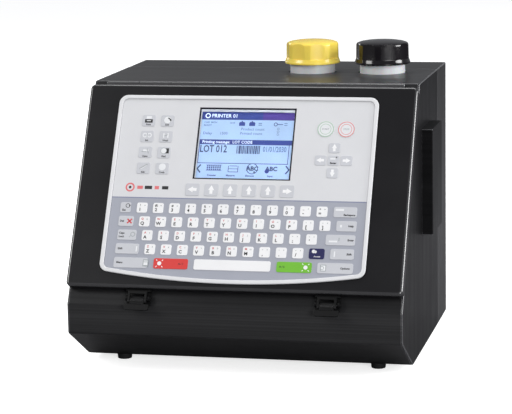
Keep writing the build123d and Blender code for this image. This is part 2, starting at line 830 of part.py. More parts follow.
# ---- ink system ---------------------------------------------------------------------------
with BuildPart() as drip_tray:
    block((4, 196), (118, 284), (sheet, 16))
    block((6, 194), (120, 282), (sheet + 2, 17), Mode.SUBTRACT)
drip_tray.part.label = "drip_tray"
export_step(drip_tray.part, "parts/drip_tray.step")

tray_top = sheet + 2
pump_y = 250.0
pump_z = 44.0
pump_shaft_radius = 3.0
motor_end = 108.0
head_start = 124.0
with BuildPart() as pump_motor:
    rod(side_plane(motor_end - 62), [(pump_y, pump_z)], 21, 62)
    rod(side_plane(motor_end - 2), [(pump_y, pump_z)], pump_shaft_radius + running_gap, 3,
        Mode.SUBTRACT)
    block((motor_end - 58, motor_end - 4), (pump_y - 18, pump_y + 18), (tray_top, 30))
pump_motor.part.label = "pump_motor"
export_step(pump_motor.part, "parts/pump_motor.step")

with BuildPart() as pump_coupling:
    rod(side_plane(motor_end - 1.5), [(pump_y, pump_z)], pump_shaft_radius,
        head_start - motor_end + 3)
    rod(side_plane(motor_end + 2), [(pump_y, pump_z)], 9, head_start - motor_end - 4)
    with BuildSketch(side_plane(motor_end + 5)):
        with Locations((pump_y, pump_z)):
            with PolarLocations(8.6, 4):
                Circle(1.6)
    extrude(amount=5)
pump_coupling.part.label = "pump_coupling"
export_step(pump_coupling.part, "parts/pump_coupling.step")

with BuildPart() as pump_head:
    block((head_start, head_start + 36), (pump_y - 20, pump_y + 20), (tray_top, 66))
    fillet(pump_head.edges().filter_by(Axis.X), 4)
    rod(side_plane(head_start - 1), [(pump_y, pump_z)], pump_shaft_radius + running_gap, 3,
        Mode.SUBTRACT)
    rod(level_plane(66), [(head_start + 10, pump_y), (head_start + 26, pump_y)], 5, 9)
    rod(level_plane(60), [(head_start + 10, pump_y), (head_start + 26, pump_y)], 2, 16,
        Mode.SUBTRACT)
pump_head.part.label = "pump_head"
export_step(pump_head.part, "parts/pump_head.step")

with BuildPart() as main_filter:
    rod(level_plane(tray_top), [(34, 158)], 25, 10)
    rod(level_plane(tray_top + 10), [(34, 158)], 22, 66)
    rod(level_plane(tray_top + 76), [(34, 158)], 25, 10)
    rod(level_plane(tray_top + 86), [(22, 158), (46, 158)], 4, 9)
main_filter.part.label = "main_filter"
export_step(main_filter.part, "parts/main_filter.step")

with BuildPart() as valve_block:
    block((76, 184), (140, 176), (tray_top, 30))
    with BuildSketch(level_plane(30)):
        with Locations((130, 158)):
            with GridLocations(27, 1, 4, 1):
                RectangleRounded(20, 24, 2)
    extrude(amount=26)
valve_block.part.label = "valve_block"
export_step(valve_block.part, "parts/valve_block.step")

# One hose runs from each tank's outlet to a port on top of the pump head.
tube_radius = 3.0
outlet_y = tank_front + 25
port_z = 75.0
ink_port_x = head_start + 10
solvent_port_x = head_start + 26
solvent_x = neck_x + tank_pitch

with BuildPart() as feed_hoses:
    with BuildLine() as ink_route:
        FilletPolyline(
            cab(neck_x, outlet_y, tank_low - 10),
            cab(neck_x, outlet_y, 86),
            cab(ink_port_x, pump_y, 98),
            cab(ink_port_x, pump_y, port_z),
            radius=10,
        )
    with BuildSketch(level_plane(tank_low - 10)):
        with Locations((neck_x, outlet_y)):
            Circle(tube_radius)
    sweep(path=ink_route.line)
    with BuildLine() as solvent_route:
        FilletPolyline(
            cab(solvent_x, outlet_y, tank_low - 10),
            cab(solvent_x, outlet_y, 92),
            cab(solvent_port_x, pump_y, 93),
            cab(solvent_port_x, pump_y, port_z),
            radius=7,
        )
    with BuildSketch(level_plane(tank_low - 10)):
        with Locations((solvent_x, outlet_y)):
            Circle(tube_radius)
    sweep(path=solvent_route.line)
feed_hoses.part.label = "feed_hoses"
export_step(feed_hoses.part, "parts/feed_hoses.step")

# ---- rear connections ---------------------------------------------------------------------
inlet_flange = (31.0, 66.0)
inlet_deep = 26.0
rocker_z = inlet_place[1] + 15.5
rocker_y = cab_depth - 1.0
rocker_radius = 11.2
rocker_travel = math.radians(16)
trunnion_radius = 1.5
with BuildPart() as mains_inlet:
    with BuildSketch(rear_plane(cab_depth)):
        with Locations(inlet_place):
            RectangleRounded(inlet_flange[0], inlet_flange[1], 3)
    extrude(amount=2.5)
    with BuildSketch(rear_plane(cab_depth - inlet_deep)):
        with Locations(inlet_place):
            Rectangle(*inlet_hole)
    extrude(amount=inlet_deep)
    with BuildSketch(rear_plane(cab_depth - 13)):
        with Locations((inlet_place[0], inlet_place[1] - 15)):
            RectangleRounded(24.5, 17.0, 3)
    extrude(amount=20, mode=Mode.SUBTRACT)
    with BuildSketch(rear_plane(cab_depth - 17)):
        with Locations((inlet_place[0], rocker_z)):
            Rectangle(18.4, 23)
    extrude(amount=24, mode=Mode.SUBTRACT)
    rod(side_plane(-inlet_place[0] - 11.5), [(rocker_y, rocker_z)],
        trunnion_radius + running_gap, 23, Mode.SUBTRACT)
mains_inlet.part.label = "mains_inlet"
export_step(mains_inlet.part, "parts/mains_inlet.step")

with BuildPart() as inlet_pins:
    for across, up in ((-7, -17.5), (7, -17.5), (0, -13.5)):
        with BuildSketch(rear_plane(cab_depth - 13)):
            with Locations((inlet_place[0] + across, inlet_place[1] + up)):
                Rectangle(2, 4)
        extrude(amount=12)
inlet_pins.part.label = "inlet_pins"
export_step(inlet_pins.part, "parts/inlet_pins.step")

with BuildPart() as rocker_switch:
    with BuildSketch(side_plane(-inlet_place[0] - 8.8)):
        with Locations((rocker_y, rocker_z)):
            Circle(rocker_radius)
        with BuildLine():
            Polyline(
                (rocker_y - 3, rocker_z - 13),
                (rocker_y + 4.3, rocker_z - 13),
                (rocker_y + 4.3, rocker_z),
                (rocker_y + 4.3 + 13 * math.tan(rocker_travel), rocker_z + 13),
                (rocker_y - 3, rocker_z + 13),
                close=True,
            )
        make_face(mode=Mode.INTERSECT)
    extrude(amount=17.6)
    rod(side_plane(-inlet_place[0] - 11), [(rocker_y, rocker_z)], trunnion_radius, 22)
rocker_switch.part.label = "rocker_switch"
export_step(rocker_switch.part, "parts/rocker_switch.step")

gland_bore = 12.5
with BuildPart() as umbilical_gland:
    rod(rear_plane(rear_inside - 14), [gland_place], gland_thread_radius, 14 + sheet)
    with BuildSketch(rear_plane(cab_depth)):
        with Locations(gland_place):
            RegularPolygon(23, 6)
    extrude(amount=9)
    rod(rear_plane(cab_depth + 9), [gland_place], 20.5, gland_out - 9)
    gland_nose = umbilical_gland.edges().group_by(Axis.Y)[-1]
    fillet(gland_nose, 4)
    rod(rear_plane(rear_inside - 15), [gland_place], gland_bore, 80, Mode.SUBTRACT)
umbilical_gland.part.label = "umbilical_gland"
export_step(umbilical_gland.part, "parts/umbilical_gland.step")

with BuildPart() as gland_locknut:
    with BuildSketch(rear_plane(rear_inside - 7)):
        with Locations(gland_place):
            RegularPolygon(23, 6)
            Circle(gland_thread_radius + 0.1, mode=Mode.SUBTRACT)
    extrude(amount=7)
gland_locknut.part.label = "gland_locknut"
export_step(gland_locknut.part, "parts/gland_locknut.step")

with BuildPart() as sensor_sockets:
    rod(rear_plane(rear_inside - 14), socket_places, socket_radius, 14 + sheet)
    rod(rear_plane(cab_depth), socket_places, 10.5, 3)
    rod(rear_plane(cab_depth + 3), socket_places, 7.0, 6)
sensor_sockets.part.label = "sensor_sockets"
export_step(sensor_sockets.part, "parts/sensor_sockets.step")

with BuildPart() as socket_dust_caps:
    rod(rear_plane(cab_depth + 3), socket_places, 8.6, 8)
    rod(rear_plane(cab_depth + 2), socket_places, 7.1, 7.1, Mode.SUBTRACT)
socket_dust_caps.part.label = "socket_dust_caps"
export_step(socket_dust_caps.part, "parts/socket_dust_caps.step")
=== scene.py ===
import math

import bmesh
import bpy
from mathutils import Matrix, Vector


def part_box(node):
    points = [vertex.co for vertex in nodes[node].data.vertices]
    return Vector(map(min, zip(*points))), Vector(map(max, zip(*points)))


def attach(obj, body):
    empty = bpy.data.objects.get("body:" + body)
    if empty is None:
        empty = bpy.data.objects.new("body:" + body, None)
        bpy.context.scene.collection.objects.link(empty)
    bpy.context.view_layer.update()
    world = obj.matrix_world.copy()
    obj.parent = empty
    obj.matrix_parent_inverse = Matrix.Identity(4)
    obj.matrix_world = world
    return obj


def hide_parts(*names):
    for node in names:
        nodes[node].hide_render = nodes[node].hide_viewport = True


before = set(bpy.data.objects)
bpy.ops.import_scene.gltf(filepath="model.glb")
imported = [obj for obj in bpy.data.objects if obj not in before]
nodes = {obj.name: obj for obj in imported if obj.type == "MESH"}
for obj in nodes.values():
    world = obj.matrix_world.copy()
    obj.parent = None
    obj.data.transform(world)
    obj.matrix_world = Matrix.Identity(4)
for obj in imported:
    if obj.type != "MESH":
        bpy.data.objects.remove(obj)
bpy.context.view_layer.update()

# ---- camera ----
# A long lens stands a little above the keyboard and to its right, and leans over by about a
# degree, as a hand-held one does.
camera_place = Vector((0.57455, -2.6003, 0.6604))
camera_yaw = math.radians(12.877)
camera_pitch = math.radians(10.317)
camera_roll = math.radians(-1.046)
ahead = Vector((
    -math.sin(camera_yaw) * math.cos(camera_pitch),
    math.cos(camera_yaw) * math.cos(camera_pitch),
    -math.sin(camera_pitch),
))
level_right = Vector((math.cos(camera_yaw), math.sin(camera_yaw), 0))
level_up = level_right.cross(ahead)
picture_right = math.cos(camera_roll) * level_right + math.sin(camera_roll) * level_up
picture_up = -math.sin(camera_roll) * level_right + math.cos(camera_roll) * level_up
bpy.ops.object.camera_add(location=camera_place)
camera = bpy.context.object
camera.name = "camera"
camera.data.lens = 150.7
camera.data.sensor_width = 36.0
camera.data.clip_end = 60.0
camera.matrix_world = Matrix.Translation(camera_place) @ Matrix(
    (picture_right, picture_up, -ahead)
).transposed().to_4x4()
bpy.context.scene.camera = camera
bpy.context.scene.view_settings.view_transform = "Standard"

# ---- studio ----
# A floor and backdrop that look white and light the object only dimly. A large soft light
# stands over the left shoulder, weaker ones stand in front, above and behind, and one at the
# right lights the side sheet and catches the edges.
bpy.ops.object.select_all(action="DESELECT")
bpy.ops.mesh.primitive_plane_add(size=60)
floor = bpy.context.object
floor.name = "floor"


def shader_node(tree, kind, **values):
    """A new shader with its values set."""
    node = tree.nodes.new("ShaderNode" + kind)
    for title, value in values.items():
        node.inputs[title].default_value = value
    return node


def show(tree, lit_by, seen, end):
    """The camera sees one shader, and all else is lit by the other."""
    rays = shader_node(tree, "LightPath")
    mix = shader_node(tree, "MixShader")
    tree.links.new(rays.outputs["Is Camera Ray"], mix.inputs[0])
    tree.links.new(lit_by.outputs[0], mix.inputs[1])
    tree.links.new(seen.outputs[0], mix.inputs[2])
    tree.links.new(mix.outputs[0], tree.nodes[end].inputs["Surface"])


floor_paint = bpy.data.materials.new("floor_paint")
floor_paint.use_nodes = True
paint = floor_paint.node_tree
floor_white = paint.nodes["Principled BSDF"]
floor_white.inputs["Base Color"].default_value = (0.93, 0.93, 0.93, 1)
floor_white.inputs["Roughness"].default_value = 0.9
floor_white.inputs["Specular IOR Level"].default_value = 0.1
floor_glow = shader_node(paint, "Emission", Strength=0.72)
floor_sum = shader_node(paint, "AddShader")
paint.links.new(floor_white.outputs[0], floor_sum.inputs[0])
paint.links.new(floor_glow.outputs[0], floor_sum.inputs[1])
floor_dim = shader_node(paint, "BsdfDiffuse", Color=(0.24, 0.24, 0.25, 1))
show(paint, floor_dim, floor_sum, "Material Output")
floor.data.materials.append(floor_paint)

surroundings = bpy.data.worlds.new("surroundings")
bpy.context.scene.world = surroundings
surroundings.use_nodes = True
air = surroundings.node_tree
sky = air.nodes["Background"]
sky.inputs["Color"].default_value = (0.93, 0.95, 1, 1)
sky.inputs["Strength"].default_value = 0.24
show(air, sky, shader_node(air, "Background", Color=(1, 1, 1, 1)), "World Output")


def softbox(name, place, target, width, height, power, colour=(1, 1, 1)):
    """A rectangular light that faces a point."""
    bpy.ops.object.light_add(type="AREA", location=place)
    lamp = bpy.context.object
    lamp.name = name
    lamp.data.shape = "RECTANGLE"
    lamp.data.size = width
    lamp.data.size_y = height
    lamp.data.energy = power
    lamp.data.color = colour
    towards = Vector(target) - Vector(place)
    lamp.rotation_euler = towards.to_track_quat("-Z", "Y").to_euler()


middle = (0, 0, 0.18)
softbox("key_light", (-2.6, -1.9, 2.0), middle, 1.6, 1.6, 62, (1.0, 0.995, 0.98))
softbox("fill_light", (2.0, -2.8, 0.8), middle, 1.2, 1.2, 50)
softbox("top_light", (0.0, 0.3, 2.6), middle, 2.0, 1.0, 33)
softbox("edge_light", (2.0, -0.05, 0.85), (0.15, -0.05, 0.2), 1.0, 0.9, 36)
softbox("rear_light", (-2.2, 2.4, 1.5), middle, 1.2, 1.2, 26)


def surface_group(name):
    """A shader group with its sockets, for a finish that varies over the surface."""
    group = bpy.data.node_groups.new(name, "ShaderNodeTree")
    for way, title, kind in (
        ("INPUT", "Colour", "Color"),
        ("INPUT", "Contrast", "Float"),
        ("INPUT", "Roughness", "Float"),
        ("INPUT", "Relief", "Float"),
        ("OUTPUT", "Colour", "Color"),
        ("OUTPUT", "Roughness", "Float"),
        ("OUTPUT", "Normal", "Vector"),
    ):
        group.interface.new_socket(title, in_out=way, socket_type="NodeSocket" + kind)
    return group


def noise_at(group, scale, detail, rough=0.55):
    """Noise on the piece's own place, stretched by the three scales."""
    place = shader_node(group, "TexCoord")
    turn = shader_node(group, "Mapping", Scale=scale)
    group.links.new(place.outputs["Object"], turn.inputs["Vector"])
    noise = shader_node(group, "TexNoise", Scale=1.0, Detail=detail, Roughness=rough)
    group.links.new(turn.outputs["Vector"], noise.inputs["Vector"])
    return noise.outputs["Fac"]


def ranged(group, value, low, high, from_low=0.3, from_high=0.7):
    """A value moved from its own range to another one."""
    span = shader_node(group, "MapRange")
    limits = {"From Min": from_low, "From Max": from_high, "To Min": low, "To Max": high}
    for title, limit in limits.items():
        span.inputs[title].default_value = limit
    group.links.new(value, span.inputs["Value"])
    return span.outputs["Result"]


def worked(group, kind, first, second):
    """A sum, product or other step of two values, either of which may be a plain number."""
    step = shader_node(group, "Math")
    step.operation = kind
    for socket, value in zip(step.inputs, (first, second)):
        if isinstance(value, (int, float)):
            socket.default_value = value
        else:
            group.links.new(value, socket)
    return step.outputs[0]


def either(group, mask, when_off, when_on):
    """One of two values, by a mask."""
    choice = shader_node(group, "Mix")
    group.links.new(mask, choice.inputs["Factor"])
    group.links.new(when_off, choice.inputs["A"])
    group.links.new(when_on, choice.inputs["B"])
    return choice.outputs["Result"]


def put_out(group, shade, unevenness, height, depth, base=1.0):
    """Ends a group: its colour shaded, its roughness uneven, and a relief this deep."""
    given = group.nodes.new("NodeGroupInput").outputs
    end = group.nodes.new("NodeGroupOutput").inputs
    factor = worked(group, "ADD", worked(group, "MULTIPLY", shade, given["Contrast"]), base)
    tint = shader_node(group, "VectorMath")
    tint.operation = "SCALE"
    group.links.new(given["Colour"], tint.inputs[0])
    group.links.new(factor, tint.inputs["Scale"])
    group.links.new(tint.outputs["Vector"], end["Colour"])
    group.links.new(worked(group, "ADD", unevenness, given["Roughness"]), end["Roughness"])
    bump = shader_node(group, "Bump", Distance=depth)
    group.links.new(height, bump.inputs["Height"])
    group.links.new(given["Relief"], bump.inputs["Strength"])
    group.links.new(bump.outputs["Normal"], end["Normal"])


brushed_sheet = surface_group("brushed_sheet")
faces_side = shader_node(brushed_sheet, "NewGeometry")
side_part = shader_node(brushed_sheet, "SeparateXYZ")
brushed_sheet.links.new(faces_side.outputs["True Normal"], side_part.inputs[0])
side_size = worked(brushed_sheet, "ABSOLUTE", side_part.outputs["X"], 0.0)
is_side = worked(brushed_sheet, "GREATER_THAN", side_size, 0.75)
fine_streak = either(brushed_sheet, is_side, noise_at(brushed_sheet, (1.6, 420, 420), 3.0),
                     noise_at(brushed_sheet, (420, 420, 1.6), 3.0))
broad_streak = either(brushed_sheet, is_side, noise_at(brushed_sheet, (1.1, 46, 46), 2.0),
                      noise_at(brushed_sheet, (46, 46, 1.1), 2.0))
streak = worked(brushed_sheet, "ADD", ranged(brushed_sheet, fine_streak, -0.5, 0.5),
                ranged(brushed_sheet, broad_streak, -0.5, 0.5))
handling = ranged(brushed_sheet, noise_at(brushed_sheet, (5, 5, 5), 4.0), -0.05, 0.07)
rough_streak = worked(brushed_sheet, "MULTIPLY", streak, 0.06)
put_out(brushed_sheet, streak, worked(brushed_sheet, "ADD", rough_streak, handling),
        fine_streak, 0.0002)


def finish(name, group, colour, contrast, roughness, relief, metallic=0.0, specular=0.5,
           **sockets):
    """A material whose colour, roughness and relief vary as its group says."""
    material = bpy.data.materials.new(name)
    material.use_nodes = True
    tree = material.node_tree
    shader = tree.nodes["Principled BSDF"]
    shader.inputs["Metallic"].default_value = metallic
    shader.inputs["Specular IOR Level"].default_value = specular
    for title, value in sockets.items():
        shader.inputs[title.replace("_", " ")].default_value = value
    surface = shader_node(tree, "Group")
    surface.node_tree = group
    given = {"Colour": (*colour, 1), "Contrast": contrast, "Roughness": roughness,
             "Relief": relief}
    for title, value in given.items():
        surface.inputs[title].default_value = value
    tree.links.new(surface.outputs["Colour"], shader.inputs["Base Color"])
    tree.links.new(surface.outputs["Roughness"], shader.inputs["Roughness"])
    tree.links.new(surface.outputs["Normal"], shader.inputs["Normal"])
    return material


def take(*pieces):
    """Selects these objects alone, the last one active."""
    bpy.ops.object.select_all(action="DESELECT")
    for piece in pieces:
        piece.select_set(True)
    bpy.context.view_layer.objects.active = pieces[-1]


def put_on(piece, *materials):
    """Gives a piece these materials in place of its own."""
    piece.data.materials.clear()
    for material in materials:
        piece.data.materials.append(material)


def apply_modifiers(piece):
    """Makes every modifier of a piece part of its mesh."""
    take(piece)
    for modifier in list(piece.modifiers):
        bpy.ops.object.modifier_apply(modifier=modifier.name)


def smooth(piece, angle=40):
    """Smooth shading over rounded stretches, with the large flats kept true."""
    take(piece)
    bpy.ops.object.shade_smooth_by_angle(angle=math.radians(angle))
    weighted = piece.modifiers.new("flats", "WEIGHTED_NORMAL")
    weighted.keep_sharp = True
    apply_modifiers(piece)


def break_edges(piece, width, segments, angle):
    """Rounds the edges of a piece that are sharper than an angle."""
    bevel = piece.modifiers.new("edges", "BEVEL")
    bevel.width = width
    bevel.segments = segments
    bevel.limit_method = "ANGLE"
    bevel.angle_limit = math.radians(angle)
    return bevel


def round_edges(piece, width, segments=2, angle=35):
    """Breaks the sharp edges of a piece in its last material, keeping its flats flat."""
    bevel = break_edges(piece, width, segments, angle)
    bevel.use_clamp_overlap = False
    bevel.miter_outer = "MITER_ARC"
    bevel.material = len(piece.data.materials) - 1
    apply_modifiers(piece)
    smooth(piece)


def open_mesh(piece):
    """Goes into edit mode on a piece, with all of its mesh selected."""
    take(piece)
    bpy.ops.object.mode_set(mode="EDIT")
    bpy.ops.mesh.select_all(action="SELECT")


def own_copy(node):
    """A copy of a CAD node as one closed mesh with whole faces, ready to be worked."""
    piece = nodes[node].copy()
    piece.data = nodes[node].data.copy()
    piece.name = node + "_shaped"
    piece.parent = None
    for tag in list(piece.keys()):
        del piece[tag]
    bpy.context.scene.collection.objects.link(piece)
    open_mesh(piece)
    bpy.ops.mesh.customdata_custom_splitnormals_clear()
    bpy.ops.mesh.remove_doubles(threshold=0.00001)
    bpy.ops.mesh.dissolve_limited(angle_limit=math.radians(0.3))
    bpy.ops.object.mode_set(mode="OBJECT")
    return piece


def stands_for(piece, node, body):
    """A finished piece takes the place of a CAD node."""
    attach(piece, body)
    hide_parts(node)


cabinet_finish = finish("cabinet_brushed_black", brushed_sheet, (0.0225, 0.0225, 0.0235),
                        contrast=0.55, roughness=0.36, relief=0.35, specular=0.25)
# The side sheets and the side hood are the same brushed black sheet as the rest, painted darker
# here as painted shade.
side_painted_shade_finish = finish("side_brushed_black_painted_shade", brushed_sheet, (0.0075, 0.0075, 0.0082),
                     contrast=0.4, roughness=0.38, relief=0.3, specular=0.1)
# The stretch of the wrapper that faces up the slope is the same sheet, painted darker as painted
# shade.
strip_painted_shade_finish = finish("strip_brushed_black_painted_shade", brushed_sheet, (0.0125, 0.0125, 0.0135),
                      contrast=0.5, roughness=0.34, relief=0.3, specular=0.3)
# The broken edges of the sheets are painted a lighter grey as a painted highlight along the bends;
# their higher gloss is the sheet's own.
edge_highlight_finish = finish("cabinet_edge_painted_highlight", brushed_sheet, (0.075, 0.075, 0.08),
                            contrast=0.6, roughness=0.22, relief=0.1, specular=0.7)
lean = math.radians(30)
slope_facing = Vector((0, -math.cos(lean), math.sin(lean)))
for node, edge, flat_finish in (
    ("cabinet_wrapper", 0.0005, cabinet_finish),
    ("left_side_panel", 0.0009, side_painted_shade_finish),
    ("right_side_panel", 0.0011, side_painted_shade_finish),
    ("rear_cover", 0.0014, cabinet_finish),
    ("side_hood", 0.0007, side_painted_shade_finish),
):
    sheet_piece = own_copy(node)
    put_on(sheet_piece, flat_finish, strip_painted_shade_finish, edge_highlight_finish)
    # Faces that look up the slope take the painted shade copy; the rest keep their flat finish.
    for face in sheet_piece.data.polygons:
        face.material_index = int(face.normal.dot(slope_facing) > 0.97)
    # The bevel faces take the last material, the painted highlight.
    round_edges(sheet_piece, edge, 3)
    stands_for(sheet_piece, node, "cabinet")

# ---- feet and fixings ----
# Four turned rubber feet on studs, with nuts inside, and bright plated screws at the rear
# and through the fan. A foam strip on the slope seals the door.
moulded_grain = surface_group("moulded_grain")
fine_grain = noise_at(moulded_grain, (1400, 1400, 1400), 2.0)
cloudy = noise_at(moulded_grain, (28, 28, 28), 3.0)
rubbed = noise_at(moulded_grain, (9, 9, 9), 4.0, 0.6)
grain_shift = ranged(moulded_grain, worked(moulded_grain, "ADD", fine_grain, cloudy),
                     -1.0, 1.0, 0.7, 1.3)
put_out(moulded_grain, grain_shift, ranged(moulded_grain, rubbed, -0.05, 0.05),
        fine_grain, 0.0001)

worked_metal = surface_group("worked_metal")
metal_lines = noise_at(worked_metal, (12, 260, 900), 3.0)
metal_stain = noise_at(worked_metal, (16, 16, 16), 4.0)
metal_mix = ranged(worked_metal, worked(worked_metal, "ADD", metal_lines, metal_stain),
                   -1.0, 1.0, 0.7, 1.3)
put_out(worked_metal, metal_mix, ranged(worked_metal, metal_stain, -0.07, 0.09),
        metal_lines, 0.0001)

rubber_finish = finish("black_rubber", moulded_grain, (0.012, 0.012, 0.013),
                       contrast=0.25, roughness=0.72, relief=0.5, specular=0.35)
plated_finish = finish("plated_steel", worked_metal, (0.62, 0.63, 0.64),
                       contrast=0.12, roughness=0.24, relief=0.15, metallic=1.0)


def shaped_pieces(material, body, edges):
    """Works CAD nodes into finished pieces: each gets its edges broken and its material."""
    for node, edge in edges.items():
        piece = own_copy(node)
        if edge > 0:
            round_edges(piece, edge)
        else:
            smooth(piece)
        put_on(piece, material)
        stands_for(piece, node, body)


shaped_pieces(rubber_finish, "cabinet", {"feet": 0.0006, "door_gasket": 0.0006})
shaped_pieces(plated_finish, "cabinet",
              {"cover_screws": 0.0003, "foot_nuts": 0.0003, "fan_screws": 0.0004,
               "sensor_sockets": 0.0003, "latch_pins": 0.0})

# ---- door ----
# The control door is a shallow folded pan with rolled edges and small round corners, under
# a finer and duller black than the cabinet, glossy where it is rolled and painted a lighter
# grey there as a painted highlight. It is drawn flat, in the slope's own coordinates (across,
# up the slope, outwards), and then laid on the slope.
wrapper_low, wrapper_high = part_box("cabinet_wrapper")
bend_height = 0.081
slope_foot = Vector((
    (wrapper_low.x + wrapper_high.x) / 2,
    wrapper_low.y,
    wrapper_low.z + bend_height,
))
on_slope = Matrix((
    (1, 0, 0, slope_foot.x),
    (0, math.sin(lean), -math.cos(lean), slope_foot.y),
    (0, math.cos(lean), math.sin(lean), slope_foot.z),
    (0, 0, 0, 1),
))


def lay_on_slope(piece):
    """Takes a piece drawn flat to its place on the slope, and leaves it at the origin."""
    take(piece)
    piece.matrix_world = on_slope @ piece.matrix_world
    bpy.ops.object.transform_apply(location=True, rotation=True, scale=True)


def pick(part, rule):
    """In edit mode, selects the edges or faces of the active piece that fit a rule."""
    mesh = bmesh.from_edit_mesh(bpy.context.object.data)
    bpy.ops.mesh.select_mode(type=part)
    bpy.ops.mesh.select_all(action="DESELECT")
    for item in mesh.edges if part == "EDGE" else mesh.faces:
        if rule(item):
            item.select_set(True)
    bmesh.update_edit_mesh(bpy.context.object.data)


def block(low, high):
    """A plain block between two corners."""
    bpy.ops.object.select_all(action="DESELECT")
    bpy.ops.mesh.primitive_cube_add(size=1, location=(Vector(low) + Vector(high)) / 2,
                                    scale=Vector(high) - Vector(low))
    return bpy.context.object


def cut_away(piece, *cutters):
    """Cuts solids out of a piece, and removes them."""
    for cutter in cutters:
        cut = piece.modifiers.new("cut", "BOOLEAN")
        cut.operation = "DIFFERENCE"
        cut.solver = "EXACT"
        cut.object = cutter
    apply_modifiers(piece)
    for cutter in cutters:
        bpy.data.objects.remove(cutter)


door_half = 0.2045
door_low = 0.0185
door_high = 0.281
door_rim = 0.0025
door_face = 0.0145
door_sheet = 0.002
rolled_depth = 0.0034
glass_left = -0.0615
glass_right = 0.059
glass_low = 0.1572
glass_high = 0.2505
glass_seat = 0.002
door = block((-door_half, door_low, door_rim), (door_half, door_high, door_face))
door.name = "front_door_pan"
take(door)
bpy.ops.object.transform_apply(location=True, rotation=True, scale=True)
open_mesh(door)
pick("EDGE", lambda edge: abs(edge.verts[0].co.z - edge.verts[1].co.z) > 0.005)
bpy.ops.mesh.bevel(offset=0.006, segments=8)
pick("FACE", lambda face: face.normal.z < -0.9)
bpy.ops.mesh.delete(type="FACE")
pick("EDGE", lambda edge: min(v.co.z for v in edge.verts) > door_face - 0.0001)
bpy.ops.mesh.bevel(offset=rolled_depth, segments=7)
bpy.ops.object.mode_set(mode="OBJECT")
wall = door.modifiers.new("wall", "SOLIDIFY")
wall.thickness = door_sheet
wall.offset = -1
apply_modifiers(door)
cut_away(door, block((glass_left + glass_seat, glass_low + glass_seat, 0.009),
                     (glass_right - glass_seat, glass_high - glass_seat, 0.02)))
smooth(door, 35)
door_finish = finish("door_fine_black", moulded_grain, (0.0085, 0.0083, 0.0096),
                     contrast=0.1, roughness=0.36, relief=0.14, specular=0.26)
rolled_edge_highlight_finish = finish("door_rolled_edge_painted_highlight", moulded_grain, (0.03, 0.03, 0.032),
                       contrast=0.12, roughness=0.2, relief=0.05, specular=0.7,
                       Coat_Weight=0.3, Coat_Roughness=0.12)
put_on(door, door_finish, rolled_edge_highlight_finish)
# The faces of the rolled edges take the lighter grey, a painted highlight.
for face in door.data.polygons:
    is_high = face.center.z > door_face - rolled_depth - 0.0002
    face.material_index = int(is_high and 0.05 < face.normal.z < 0.995)
lay_on_slope(door)
stands_for(door, "front_door", "door")

# ---- panel rim ----
# A pale moulded frame stands round the printed film. Its lower side is bowed, its corners
# are round, and its crown is rounded on both sides, with the film set a little lower.
panel_middle = -0.0027
panel_half = 0.16175
panel_top = 0.2655
panel_low_corner = 0.0385
panel_low_middle = 0.0257
rim_width = 0.005
rim_top = door_face + 0.0026
film_top = door_face + 0.0012
bow_sag = panel_low_corner - panel_low_middle
bow_radius = (panel_half ** 2 + bow_sag ** 2) / (2 * bow_sag)


def panel_outline(inset, corner, steps=10):
    """The panel's outline drawn in by an inset: round corners, with the lower side bowed."""
    half = panel_half - inset
    bow = bow_radius - inset
    bow_up = panel_low_middle + bow_radius
    low_up = bow_up - math.sqrt((bow - corner) ** 2 - (half - corner) ** 2)
    high_up = panel_top - inset - corner
    side_lean = math.asin((half - corner) / (bow - corner))
    points = []
    for side, up, start, end in (
        (1, low_up, side_lean - math.pi / 2, 0),
        (1, high_up, 0, math.pi / 2),
        (-1, high_up, math.pi / 2, math.pi),
        (-1, low_up, math.pi, 1.5 * math.pi - side_lean),
    ):
        for k in range(steps + 1):
            turn = start + (end - start) * k / steps
            points.append((side * (half - corner) + corner * math.cos(turn),
                           up + corner * math.sin(turn)))
    for k in range(1, 4 * steps):
        turn = -math.pi / 2 - side_lean + 2 * side_lean * k / (4 * steps)
        points.append((bow * math.cos(turn), bow_up + bow * math.sin(turn)))
    return [(panel_middle + across, up, door_face) for across, up in points]


def outline_sheet(name, points, fill="NOTHING"):
    """A ring of edges, or a flat sheet, with the given outline."""
    bpy.ops.object.select_all(action="DESELECT")
    bpy.ops.mesh.primitive_circle_add(vertices=len(points), radius=0.1, fill_type=fill)
    piece = bpy.context.object
    piece.name = name
    for corner_point, place in zip(piece.data.vertices, points):
        corner_point.co = place
    return piece


def thicken(plate, height):
    """Raises a flat sheet into a closed plate."""
    if plate.data.polygons[0].normal.z < 0:
        plate.data.flip_normals()
    grow = plate.modifiers.new("height", "SOLIDIFY")
    grow.thickness = height
    grow.offset = 1
    grow.use_even_offset = True
    apply_modifiers(plate)


rim = outline_sheet("panel_rim_frame", panel_outline(0, 0.011))
inner_edge = outline_sheet("inner_edge", panel_outline(rim_width, 0.007))
take(inner_edge, rim)
bpy.ops.object.join()
open_mesh(rim)
bpy.ops.mesh.bridge_edge_loops()
bpy.ops.mesh.select_all(action="SELECT")
bpy.ops.mesh.normals_make_consistent(inside=False)
bpy.ops.object.mode_set(mode="OBJECT")
thicken(rim, rim_top - door_face)
round_edges(rim, 0.0011, 4, 50)
lay_on_slope(rim)
put_on(rim, finish("panel_rim_grey", moulded_grain, (0.68, 0.685, 0.70),
                   contrast=0.03, roughness=0.36, relief=0.12))
stands_for(rim, "panel_rim", "door")

